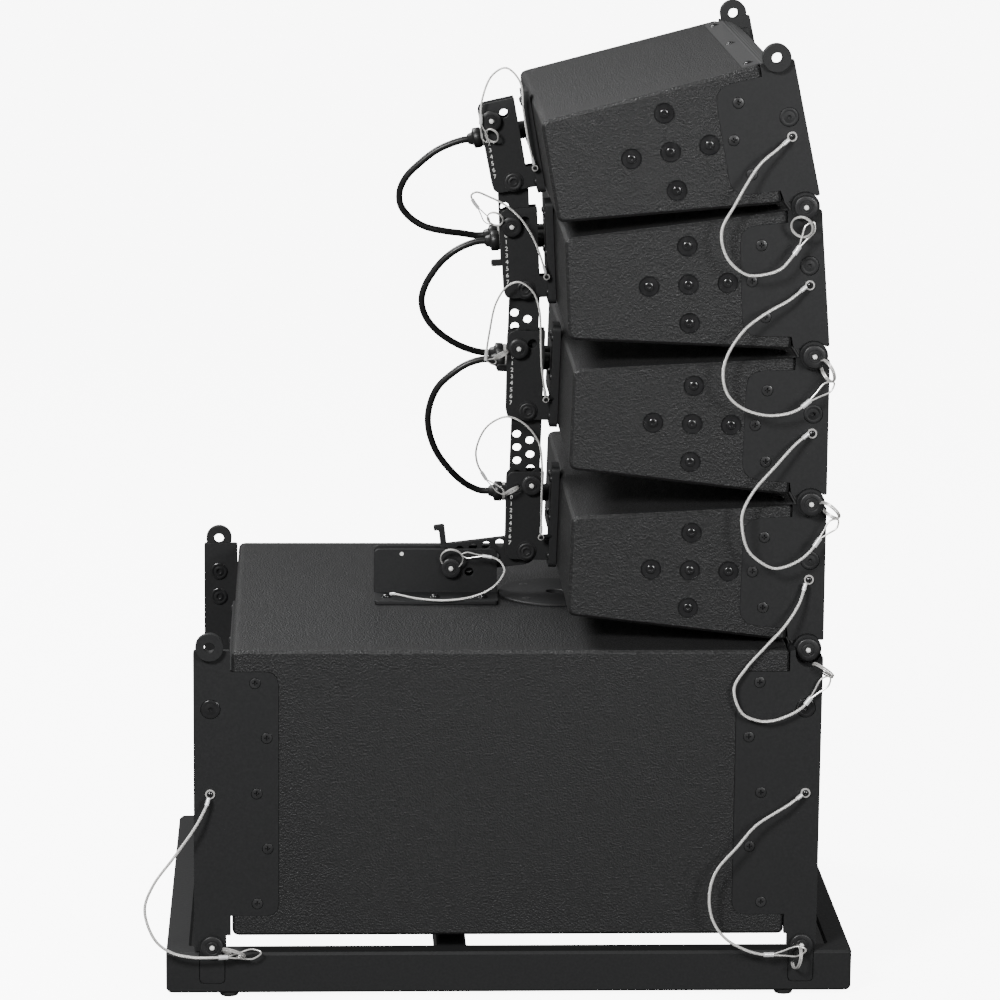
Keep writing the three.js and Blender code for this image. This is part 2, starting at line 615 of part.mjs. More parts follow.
function plug(frame, y) {
  const { nose, boot, tail, radius } = PLUG;
  const geometry = turned([
    [0, tail], [6.5, tail], [7.5, boot], [radius, boot + 4], [radius, nose - 8], [9, nose], [0, nose],
  ], 8);
  geometry.rotateZ(-Math.PI / 2);
  geometry.translate(0, y, PLUG.z);
  geometry.rotateY(-frame.turn);
  geometry.translate(frame.x, 0, frame.z);
  return toSolid(geometry);
}

// Hand-chosen points (x, y, z) of each loop between its two plugs.
const CABLE_ROUTES = {
  1: [
    [-84, 36, 989], [-107, 39, 971], [-123, 43, 954], [-131, 47, 936], [-130, 51, 918],
    [-119, 57, 902], [-100, 63, 889], [-75, 70, 882], [-52, 78, 878],
  ],
  2: [
    [-58, 35, 865], [-77, 38, 850], [-90, 42, 833], [-99, 46, 816], [-103, 50, 798],
    [-99, 55, 779], [-88, 60, 762], [-70, 67, 746], [-48, 76, 733],
  ],
  3: [
    [-46, 35, 719], [-65, 37, 706], [-81, 41, 690], [-90, 46, 671], [-94, 50, 650],
    [-92, 55, 628], [-83, 60, 603], [-69, 66, 582], [-53, 74, 564], [-39, 81, 553],
  ],
};

function cable(upper, lower, route) {
  const start = toWorld(upper, PLUG.tail + 3, PLUG.outY, PLUG.z);
  const leave = toWorld(upper, PLUG.tail - 9, PLUG.outY, PLUG.z);
  const arrive = toWorld(lower, PLUG.tail - 9, PLUG.inY, PLUG.z);
  const end = toWorld(lower, PLUG.tail + 3, PLUG.inY, PLUG.z);
  const middle = route.map((point) => new THREE.Vector3(...point));
  const path = new THREE.CatmullRomCurve3([start, leave, ...middle, arrive, end], false, "centripetal");
  const section = new THREE.Shape();
  const sides = 8;
  for (let i = 0; i < sides; i += 1) {
    const angle = (i / sides) * 2 * Math.PI;
    const point = [CABLE_RADIUS * Math.cos(angle), CABLE_RADIUS * Math.sin(angle)];
    if (i === 0) section.moveTo(...point);
    else section.lineTo(...point);
  }
  section.closePath();
  const tube = new THREE.ExtrudeGeometry(section, { steps: 22, extrudePath: path, bevelEnabled: false });
  return joined(toSolid(tube), plug(upper, PLUG.outY), plug(lower, PLUG.inY));
}

function buildCables(root, frames) {
  const count = frames.length;
  for (const [number, route] of Object.entries(CABLE_ROUTES)) {
    const level = count - Number(number);
    const solid = cable(frames[level], frames[level - 1], route);
    root.add(toMesh(`speaker_cable_${number}`, solid, RUBBER));
  }
}

const group = new THREE.Group();
buildBase(group);
buildSub(group);
buildCables(group, buildModules(group));

export default group;
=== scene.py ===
"""Looks for a curved line array of four loudspeaker modules on a subwoofer and its base frame.

Lengths in this file are millimetres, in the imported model's own axes: +X front, -Y near side, +Z up.
Every mesh is turned into metres when it becomes a piece.
"""

import json
import math

import bmesh
import bpy
from mathutils import Matrix, Vector
from mathutils.geometry import delaunay_2d_cdt

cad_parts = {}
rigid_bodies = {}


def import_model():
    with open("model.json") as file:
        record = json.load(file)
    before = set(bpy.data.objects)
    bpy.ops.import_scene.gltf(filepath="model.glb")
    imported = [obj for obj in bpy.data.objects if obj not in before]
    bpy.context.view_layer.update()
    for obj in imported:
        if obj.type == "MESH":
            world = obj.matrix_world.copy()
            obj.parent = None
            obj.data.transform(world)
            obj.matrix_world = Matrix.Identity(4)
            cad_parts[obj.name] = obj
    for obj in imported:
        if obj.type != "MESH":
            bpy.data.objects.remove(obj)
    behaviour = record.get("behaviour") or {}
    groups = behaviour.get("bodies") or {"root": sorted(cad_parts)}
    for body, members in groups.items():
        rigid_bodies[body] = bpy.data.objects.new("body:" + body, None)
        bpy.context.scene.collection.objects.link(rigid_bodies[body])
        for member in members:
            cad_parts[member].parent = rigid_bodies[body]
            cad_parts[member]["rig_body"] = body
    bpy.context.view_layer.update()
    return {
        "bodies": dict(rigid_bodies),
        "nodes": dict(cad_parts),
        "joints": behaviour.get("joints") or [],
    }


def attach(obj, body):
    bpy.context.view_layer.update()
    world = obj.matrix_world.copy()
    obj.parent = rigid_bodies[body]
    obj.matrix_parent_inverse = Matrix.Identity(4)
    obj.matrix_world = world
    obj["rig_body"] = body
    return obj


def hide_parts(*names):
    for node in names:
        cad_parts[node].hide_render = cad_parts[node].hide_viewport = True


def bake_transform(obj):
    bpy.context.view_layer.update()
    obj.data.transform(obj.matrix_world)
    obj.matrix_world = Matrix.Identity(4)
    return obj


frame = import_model()
NODES = frame["nodes"]
JOINTS = {joint["name"]: joint for joint in frame["joints"]}
MM = 0.001
NEAR, FAR = -1, 1
SIDE_NAMES = {NEAR: "near", FAR: "far"}
MODULES = (1, 2, 3, 4)  # from the top down

# Places on the object, repeated from the design.
SUB_HALF = 295
MODULE_HALF = 264
PLATE_THICK = 8
REAR_PIVOT = (-328, 53)
REAR_HOLES = [(-342, 132), (-325, 138)]
PIN_HOLE = 5.6  # radius
TILT_PIN = (-66, 469)
TILT_MARK = (-127.5, 486.4)
BASE_PIN_X = {"rear": -360, "front": 353}
BASE_PIN_Z = 65
EYE_FACE = 271.2
EYE_HOLE = 6.3  # radius
EYE_OUTER = 16.8  # radius
BRACKET_FACE = -290.4
BRACKET_THICK = 10
TOP_EYE = (-5.6, 178.5)
CHEEK_IN, CHEEK_OUT = 9, 14
PLUG = {"z": 108, "out_y": 35, "in_y": 85, "nose": -290.6, "boot": -368, "tail": -374}
CABLE_DIAMETER = 8.4
LANYARD_DIAMETER = 3.6
THIN_LANYARD_DIAMETER = 2.6
TERMINAL_RIM = 5
CRIMP_STEPS = 5  # points of a lanyard's line inside its crimp


def put(name, data):
    """A new object with that data, in the scene."""
    made = bpy.data.objects.new(name, data)
    bpy.context.scene.collection.objects.link(made)
    return made


# ---- camera ----
def make_camera():
    """A long lens on the near side, a little above the object and looking slightly down."""
    place, lens = (-0.24826, -5.26343, 1.68208), 154.8
    yaw, pitch, roll = 0.0463, 0.2112, 0.0103
    ahead = Vector((math.sin(yaw) * math.cos(pitch), math.cos(yaw) * math.cos(pitch), -math.sin(pitch)))
    level = Vector((math.cos(yaw), -math.sin(yaw), 0))
    upright = level.cross(ahead)
    right = level * math.cos(roll) + upright * math.sin(roll)
    up = upright * math.cos(roll) - level * math.sin(roll)
    data = bpy.data.cameras.new("camera")
    data.lens = lens
    data.sensor_width = 36
    data.clip_end = 200
    camera = put("camera", data)
    turned = Matrix((right, up, -ahead)).transposed().to_4x4()
    camera.matrix_world = Matrix.Translation(place) @ turned
    bpy.context.scene.camera = camera


# ---- frames of the pieces ----
def joint_point(name):
    """Where a hinge's axis crosses the middle plane, in millimetres, as (x, z)."""
    x, _, z = JOINTS[name]["pos_m"]
    return x / MM, z / MM


def module_frame(number):
    """The matrix from a module's own axes, with its lower hinge as origin, to the object's."""
    hinge = joint_point("array_tilt" if number == 4 else f"splay_{number}")
    pivot = joint_point(f"link_bar_{number}_swing")
    seen = math.atan2(pivot[1] - hinge[1], pivot[0] - hinge[0])
    drawn = math.atan2(REAR_PIVOT[1], REAR_PIVOT[0])
    return Matrix.Translation((hinge[0], 0, hinge[1])) @ Matrix.Rotation(drawn - seen, 4, "Y")


FRAMES = {number: module_frame(number) for number in MODULES}
WORLD = Matrix.Identity(4)
# Turns a local +Z that points out of a face: near face, far face, rear face.
OUT = {
    NEAR: Matrix(((1, 0, 0, 0), (0, 0, -1, 0), (0, 1, 0, 0), (0, 0, 0, 1))),
    FAR: Matrix(((-1, 0, 0, 0), (0, 0, 1, 0), (0, 1, 0, 0), (0, 0, 0, 1))),
}
OUT_REAR = Matrix(((0, 0, -1, 0), (-1, 0, 0, 0), (0, 1, 0, 0), (0, 0, 0, 1)))


def on_side(base, x, z, half, side):
    """A frame on a side face, its +Z pointing out of that face."""
    return base @ Matrix.Translation((x, side * half, z)) @ OUT[side]


def shift(x, y, z):
    return Matrix.Translation((x, y, z))


# ---- mesh making ----
def skin(bm, low, high):
    """Quads between two closed rings of as many vertices."""
    for a, b, c, d in zip(low, low[1:] + low[:1], high[1:] + high[:1], high):
        bm.faces.new((a, b, c, d))


def add_rings(bm, rings, close_ends=True):
    """Skins a row of rings, each a list of points, and closes both ends with a fan or a face."""
    made = [[bm.verts.new(point) for point in ring] for ring in rings]
    for low, high in zip(made, made[1:]):
        if len(low) == 1 or len(high) == 1:
            tip, rim = (low[0], high) if len(low) == 1 else (high[0], low)
            for a, b in zip(rim, rim[1:] + rim[:1]):
                bm.faces.new((tip, a, b))
        else:
            skin(bm, low, high)
    if close_ends:
        for ring in (made[0], made[-1]):
            if len(ring) > 2:
                bm.faces.new(ring)
    return made


def turned_ring(radius, height, angles, place):
    """One ring of a turned shape. The radius is a number, or a function of the angle."""
    if radius == 0:
        return [place @ Vector((0, 0, height))]
    reach = radius if callable(radius) else lambda angle: radius
    return [
        place @ Vector((reach(angle) * math.cos(angle), reach(angle) * math.sin(angle), height))
        for angle in angles
    ]


def even_angles(count):
    return [2 * math.pi * i / count for i in range(count)]


def add_turned(bm, profile, place, angles=32, hoop=False):
    """Turns (radius, height) pairs about the place's Z axis, at a list of angles or a count of them.

    A hoop's profile closes on itself.
    """
    if not isinstance(angles, list):
        angles = even_angles(angles)
    rings = [turned_ring(radius, height, angles, place) for radius, height in profile]
    made = add_rings(bm, rings, close_ends=not hoop)
    if hoop:
        skin(bm, made[-1], made[0])


def hexagon(apothem):
    """The radius of a hexagon at an angle."""
    return lambda angle: apothem / math.cos((angle + math.pi / 6) % (math.pi / 3) - math.pi / 6)


def cross(half_width, reach):
    """The radius of a cross at an angle, its arms along the axes."""

    def radius(angle):
        a = angle % (math.pi / 2)
        a = min(a, math.pi / 2 - a)
        return min(reach / math.cos(a), half_width / max(math.sin(a), 1e-6))

    return radius


def cross_angles(half_width, reach):
    """Angles that catch every corner of a cross."""
    tip = math.atan2(half_width, reach)
    quarter = math.pi / 4
    middle = (tip + quarter) / 2
    steps = [0, tip, middle, quarter, math.pi / 2 - middle, math.pi / 2 - tip]
    return [turn * math.pi / 2 + step for turn in range(4) for step in steps]


def smooth_route(points, step=3.0):
    """A centripetal Catmull-Rom curve through the points, sampled about every step."""
    points = [Vector(p) for p in points]
    ends = [points[0] * 2 - points[1], *points, points[-1] * 2 - points[-2]]
    line = [points[0]]
    for p0, p1, p2, p3 in zip(ends, ends[1:], ends[2:], ends[3:]):
        t0, t1 = 0.0, (p1 - p0).length ** 0.5
        t2 = t1 + (p2 - p1).length ** 0.5
        t3 = t2 + (p3 - p2).length ** 0.5
        count = max(2, round((p2 - p1).length / step))
        for i in range(1, count + 1):
            t = t1 + (t2 - t1) * i / count
            a1 = p0.lerp(p1, (t - t0) / (t1 - t0))
            a2 = p1.lerp(p2, (t - t1) / (t2 - t1))
            a3 = p2.lerp(p3, (t - t2) / (t3 - t2))
            b1 = a1.lerp(a2, (t - t0) / (t2 - t0))
            b2 = a2.lerp(a3, (t - t1) / (t3 - t1))
            line.append(b1.lerp(b2, (t - t1) / (t2 - t1)))
    return line


def route_length(line):
    return sum((b - a).length for a, b in zip(line, line[1:]))


def add_tube(bm, line, radius, sides=12):
    """A closed round tube along a line, with UVs: turns around it, and millimetres along it."""
    ahead = (line[1] - line[0]).normalized()
    side = ahead.orthogonal().normalized()
    rings, along, travelled = [], [], 0.0
    for i, point in enumerate(line):
        before, after = line[max(i - 1, 0)], line[min(i + 1, len(line) - 1)]
        turned = (after - before).normalized()
        side = (side - turned * side.dot(turned)).normalized()
        up = turned.cross(side)
        travelled += (point - before).length if i else 0
        along.append(travelled)
        rings.append([point + (side * math.cos(a) + up * math.sin(a)) * radius for a in even_angles(sides)])
    made = add_rings(bm, rings)
    layer = bm.loops.layers.uv.verify()
    station = {vert: (k, along[j]) for j, ring in enumerate(made) for k, vert in enumerate(ring)}
    for face in {f for ring in made for v in ring for f in v.link_faces}:
        wraps = {station[loop.vert][0] for loop in face.loops} >= {0, sides - 1} and len(face.verts) == 4
        for loop in face.loops:
            turn, distance = station[loop.vert]
            loop[layer].uv = ((turn or (sides if wraps else 0)) / sides, distance)


def add_hoop(bm, centre, normal, radius, wire, around=36, sides=8):
    """A closed wire ring."""
    normal = Vector(normal).normalized()
    a = normal.orthogonal().normalized()
    b = normal.cross(a)
    made = []
    for t in even_angles(around):
        out = a * math.cos(t) + b * math.sin(t)
        middle = Vector(centre) + out * radius
        made.append([
            bm.verts.new(middle + (out * math.cos(s) + normal * math.sin(s)) * wire)
            for s in even_angles(sides)
        ])
    for low, high in zip(made, made[1:] + made[:1]):
        skin(bm, low, high)


def make_piece(name, bm, look, body=None, sharp=35, weighted=False):
    """Turns a mesh drawn in millimetres into a piece in metres that rides on a body."""
    bmesh.ops.recalc_face_normals(bm, faces=bm.faces[:])
    bmesh.ops.scale(bm, vec=(MM, MM, MM), verts=bm.verts[:])
    mesh = bpy.data.meshes.new(name)
    bm.to_mesh(mesh)
    bm.free()
    return dress(mesh, name, look, body, sharp, weighted)


def dress(mesh, name, look, body, sharp=35, weighted=False):
    """Gives a mesh its shading, its look's material, and its body."""
    mesh.materials.clear()
    mesh.materials.append(LOOKS[look])
    mesh.polygons.foreach_set("use_smooth", [True] * len(mesh.polygons))
    mesh.set_sharp_from_angle(angle=math.radians(sharp))
    piece = put(name, mesh)
    if weighted:
        piece.modifiers.new("even shading", "WEIGHTED_NORMAL").keep_sharp = True
    if body:
        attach(piece, body)
    return piece


def rounded_copy(node, rounding, segments=2, sharpest=24):
    """A CAD node's mesh with its faces merged flat and its edges rounded, still in metres."""
    bm = bmesh.new()
    bm.from_mesh(NODES[node].data)
    for layer in list(bm.loops.layers.uv.values()):
        bm.loops.layers.uv.remove(layer)
    bmesh.ops.remove_doubles(bm, verts=bm.verts[:], dist=2e-6)
    flat = math.radians(0.6)
    bmesh.ops.dissolve_limit(bm, angle_limit=flat, verts=bm.verts[:], edges=bm.edges[:])
    if rounding:
        edges = [e for e in bm.edges if e.is_manifold and e.calc_face_angle(0) > math.radians(sharpest)]
        bmesh.ops.bevel(
            bm, geom=edges, offset=rounding * MM, segments=segments, profile=0.5,
            affect="EDGES", clamp_overlap=True,
        )
    mesh = bpy.data.meshes.new(node + "_rounded")
    bm.to_mesh(mesh)
    bm.free()
    if "custom_normal" in mesh.attributes:
        mesh.attributes.remove(mesh.attributes["custom_normal"])
    return mesh


def carve(mesh, cutters):
    """The mesh with the cutters, a mesh drawn in millimetres, taken out of it."""
    bmesh.ops.recalc_face_normals(cutters, faces=cutters.faces[:])
    bmesh.ops.scale(cutters, vec=(MM, MM, MM), verts=cutters.verts[:])
    tool_mesh = bpy.data.meshes.new("cutters")
    cutters.to_mesh(tool_mesh)
    cutters.free()
    tool = put("cutters", tool_mesh)
    blank = put("blank", mesh)
    cut = blank.modifiers.new("cut", "BOOLEAN")
    cut.operation = "DIFFERENCE"
    cut.solver = "EXACT"
    cut.object = tool
    ready = blank.evaluated_get(bpy.context.evaluated_depsgraph_get())
    result = bpy.data.meshes.new_from_object(ready)
    bpy.data.objects.remove(blank)
    bpy.data.objects.remove(tool)
    return result


def finish_node(node, look, rounding=0.7, cutters=None, **options):
    """A finished piece that stands for a CAD node: the same solid with rounded edges and recesses."""
    mesh = rounded_copy(node, rounding, **options)
    if cutters is not None:
        mesh = carve(mesh, cutters)
    piece = dress(mesh, node + "_shell", look, NODES[node]["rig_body"], weighted=True)
    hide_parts(node)
    return piece


# ---- materials ----
class Look:
    """A node material with one Principled shader, built up step by step."""

    def __init__(self, name, color, roughness, metallic=0.0, specular=0.5):
        self.material = bpy.data.materials.new(name)
        self.material.use_nodes = True
        self.tree = self.material.node_tree
        self.shader = self.tree.nodes["Principled BSDF"]
        self.color = color
        self.set("Base Color", (*color, 1))
        self.set("Roughness", roughness)
        self.set("Metallic", metallic)
        self.set("Specular IOR Level", specular)
        self.place = self.node("ShaderNodeTexCoord").outputs["Object"]
        self.height = None

    def set(self, socket, value):
        self.shader.inputs[socket].default_value = value

    def node(self, kind, inputs=(), **settings):
        made = self.tree.nodes.new(kind)
        for key, value in settings.items():
            setattr(made, key, value)
        for key, value in dict(inputs).items():
            if isinstance(value, bpy.types.NodeSocket):
                self.tree.links.new(value, made.inputs[key])
            else:
                made.inputs[key].default_value = value
        return made

    def noise(self, scale, detail=2.0, rough=0.5):
        inputs = {"Vector": self.place, "Scale": scale, "Detail": detail, "Roughness": rough}
        return self.node("ShaderNodeTexNoise", inputs).outputs["Fac"]

    def span(self, value, low, high, to_low, to_high):
        inputs = {0: value, 1: low, 2: high, 3: to_low, 4: to_high}
        return self.node("ShaderNodeMapRange", inputs).outputs[0]

    def math(self, operation, a, b=0.0):
        return self.node("ShaderNodeMath", {0: a, 1: b}, operation=operation).outputs[0]

    def vary_color(self, value, light):
        """Fades from the base colour to the lighter one as value goes from 0 to 1."""
        mixed = self.node("ShaderNodeMix", {0: value, 6: (*self.color, 1), 7: (*light, 1)}, data_type="RGBA")
        self.tree.links.new(mixed.outputs[2], self.shader.inputs["Base Color"])

    def vary_roughness(self, value, low, high):
        spanned = self.span(value, 0.3, 0.7, low, high)
        self.tree.links.new(spanned, self.shader.inputs["Roughness"])

    def bump(self, height, depth):
        """Adds a relief of that depth in millimetres."""
        inputs = {"Height": height, "Distance": depth * MM, "Strength": 1.0}
        made = self.node("ShaderNodeBump", inputs)
        if self.height is not None:
            self.tree.links.new(self.height, made.inputs["Normal"])
        self.height = made.outputs[0]
        self.tree.links.new(self.height, self.shader.inputs["Normal"])


def cabinet_paint():
    """Thick sprayed textured paint: close rounded grains, with a few coarser ones between."""
    look = Look("cabinet_paint", (0.0125, 0.0126, 0.0128), 0.46, specular=0.3)
    grain = look.noise(640, 2, 0.5)
    coarse = look.span(look.noise(400, 1, 0.5), 0.42, 0.7, 0, 1)
    look.bump(look.math("ADD", grain, look.math("MULTIPLY", coarse, 0.55)), 0.75)
    look.vary_color(look.span(look.noise(520, 2), 0.4, 0.7, 0, 1), (0.018, 0.0181, 0.0184))
    look.vary_roughness(look.noise(600, 2), 0.34, 0.56)
    return look.material


def rigging_steel():
    """Satin powder coat on steel plate: faint orange peel and handling marks."""
    look = Look("rigging_steel", (0.0115, 0.0117, 0.0121), 0.5, specular=0.3)
    look.bump(look.noise(800, 2), 0.05)
    look.vary_color(look.span(look.noise(350, 4, 0.6), 0.35, 0.75, 0, 1), (0.0155, 0.0157, 0.0162))
    look.vary_roughness(look.noise(260, 5, 0.6), 0.46, 0.56)
    return look.material


def grille_steel():
    """Satin black paint over ribbed steel, a little worn on the ribs."""
    look = Look("grille_steel", (0.03, 0.0304, 0.031), 0.32, specular=0.8)
    look.bump(look.noise(1100, 2), 0.05)
    look.vary_roughness(look.noise(300, 3), 0.26, 0.38)
    look.vary_color(look.noise(200, 3), (0.042, 0.0424, 0.043))
    return look.material


def plain_black(name, dark, light, blue, roughness, grain, depth, specular=0.4):
    """A near-black moulded, rubber or board surface, with its own grain size and relief."""
    look = Look(name, (dark, dark, dark + blue), roughness, specular=specular)
    look.bump(look.noise(grain, 3), depth)
    fade = look.span(look.noise(grain / 18, 3), 0.35, 0.75, 0, 1)
    look.vary_color(fade, (light, light, light + blue))
    look.vary_roughness(look.noise(grain / 9, 2), roughness - 0.07, roughness + 0.08)
    return look.material


def bright_steel():
    """Drawn stainless wire and turned steel, with fine scratches."""
    look = Look("bright_steel", (0.66, 0.65, 0.63), 0.3, metallic=0.6)
    look.bump(look.noise(1600, 2), 0.03)
    look.vary_color(look.noise(120, 3), (0.75, 0.74, 0.72))
    look.vary_roughness(look.noise(300, 3), 0.22, 0.4)
    return look.material


def wire_rope():
    """Strands laid round the rope, drawn by its UVs: turns around it, and millimetres along it. Its colour
    carries painted shade in the grooves between strands and a painted highlight on their crests.
    """
    look = Look("wire_rope", (0.5, 0.49, 0.47), 0.34, metallic=0.35)
    uv = look.node("ShaderNodeUVMap").outputs[0]
    parts = look.node("ShaderNodeSeparateXYZ", {0: uv})
    strands, turns_per_mm = 7, 0.45
    around = look.math("MULTIPLY", parts.outputs[0], strands)
    along = look.math("MULTIPLY", parts.outputs[1], turns_per_mm)
    wave = look.math("SINE", look.math("MULTIPLY", look.math("ADD", around, along), 2 * math.pi))
    look.bump(wave, 0.16)
    # Painted shade and highlight: the colour darkens into the grooves between strands and lightens on their
    # crests, following the relief.
    look.vary_color(look.span(wave, -1, 1, 0, 1), (0.9, 0.89, 0.87))
    return look.material


def aluminium():
    look = Look("aluminium_ferrule", (0.78, 0.78, 0.78), 0.35, metallic=0.4)
    look.bump(look.noise(700, 3), 0.06)
    look.vary_roughness(look.noise(260, 3), 0.26, 0.45)
    look.vary_color(look.noise(90, 2), (0.88, 0.88, 0.88))
    return look.material


def white_print():
    """White screen print and the pins' pale buttons."""
    look = Look("white_print", (0.72, 0.72, 0.7), 0.5)
    look.bump(look.noise(1500, 2), 0.02)
    look.vary_color(look.noise(400, 2), (0.85, 0.85, 0.83))
    return look.material


LOOKS = {
    "cabinet_paint": cabinet_paint(),
    "rigging_steel": rigging_steel(),
    "grille_steel": grille_steel(),
    "bright_steel": bright_steel(),
    "wire_rope": wire_rope(),
    "aluminium": aluminium(),
    "white_print": white_print(),
}
# Name: darkest grey, lightest grey, added blue, roughness, grain scale, relief and specular level.
PLAIN_BLACKS = {
    "baffle_board": (0.011, 0.017, 0, 0.7, 500, 0.2),
    "driver_black": (0.009, 0.015, 0.001, 0.6, 700, 0.1),
    "foot_rubber": (0.012, 0.02, 0, 0.75, 800, 0.15),
    "pin_black": (0.011, 0.017, 0.0005, 0.4, 900, 0.05),
    "cable_jacket": (0.008, 0.013, 0, 0.38, 600, 0.08),
    "screw_black": (0.014, 0.022, 0.0005, 0.34, 1200, 0.03, 0.6),
    "gloss_black": (0.008, 0.013, 0.0005, 0.2, 1200, 0.02, 0.7),
}
LOOKS.update({name: plain_black(name, *values) for name, values in PLAIN_BLACKS.items()})

make_camera()


# ---- speaker cables between the modules ----
# Points of each loop between its two plugs, as in the design.
CABLE_ROUTES = {
    1: [(-84, 36, 989), (-107, 39, 971), (-123, 43, 954), (-131, 47, 936), (-130, 51, 918),
        (-119, 57, 902), (-100, 63, 889), (-75, 70, 882), (-52, 78, 878)],
    2: [(-58, 35, 865), (-77, 38, 850), (-90, 42, 833), (-99, 46, 816), (-103, 50, 798),
        (-99, 55, 779), (-88, 60, 762), (-70, 67, 746), (-48, 76, 733)],
    3: [(-46, 35, 719), (-65, 37, 706), (-81, 41, 690), (-90, 46, 671), (-94, 50, 650),
        (-92, 55, 628), (-83, 60, 603), (-69, 66, 582), (-53, 74, 564), (-39, 81, 553)],
}


def speaker_plug(number, y, end):
    """A round locking connector with two knurled collars, a bright band and a tapered boot."""
    base = FRAMES[number] @ shift(PLUG["nose"], y, PLUG["z"]) @ OUT_REAR
    boot = PLUG["nose"] - PLUG["boot"]
    tail = PLUG["nose"] - PLUG["tail"]
    knurls = 48
    angles = even_angles(knurls)

    def knurled(radius):
        return lambda angle: radius + 0.35 * math.cos(angle * knurls / 2)

    bm = bmesh.new()
    add_turned(bm, [
        (0, 0), (9, 0), (9, 6), (11, 7), (11, 49), (12, 50), (knurled(12.4), 50.6), (knurled(12.4), 60.6),
        (11.8, 61.4), (11, 61.8), (11, 65.8), (11.8, 66.2), (knurled(12.4), 66.8), (knurled(12.4), 75),
        (11.4, 76), (9, 76.6), (8, boot), (6.6, tail - 1.5), (5.2, tail), (0, tail),
    ], base, angles)
    name = f"module_{number}_plug_{end}"
    plug = make_piece(name, bm, "cable_jacket", f"module_{number}", sharp=50)
    band = bmesh.new()
    add_turned(band, [(10.9, 62), (11.7, 62.3), (11.7, 65.3), (10.9, 65.6)], base, angles, hoop=True)
    ring = make_piece(name + "_band", band, "bright_steel", f"module_{number}")
    return [plug, ring]


def speaker_cable(number):
    """The loop from one module's link socket to the next module's input."""
    upper, lower = FRAMES[number], FRAMES[number + 1]
    start = upper @ Vector((PLUG["tail"] + 3, PLUG["out_y"], PLUG["z"]))
    leave = upper @ Vector((PLUG["tail"] - 9, PLUG["out_y"], PLUG["z"]))
    arrive = lower @ Vector((PLUG["tail"] - 9, PLUG["in_y"], PLUG["z"]))
    end = lower @ Vector((PLUG["tail"] + 3, PLUG["in_y"], PLUG["z"]))
    line = smooth_route([start, leave, *CABLE_ROUTES[number], arrive, end], 4)
    bm = bmesh.new()
    add_tube(bm, line, CABLE_DIAMETER / 2, 16)
    cable = make_piece(f"speaker_cable_{number}_jacket", bm, "cable_jacket")
    plugs = speaker_plug(number, PLUG["out_y"], "out") + speaker_plug(number + 1, PLUG["in_y"], "in")
    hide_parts(f"speaker_cable_{number}")
    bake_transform(cable)
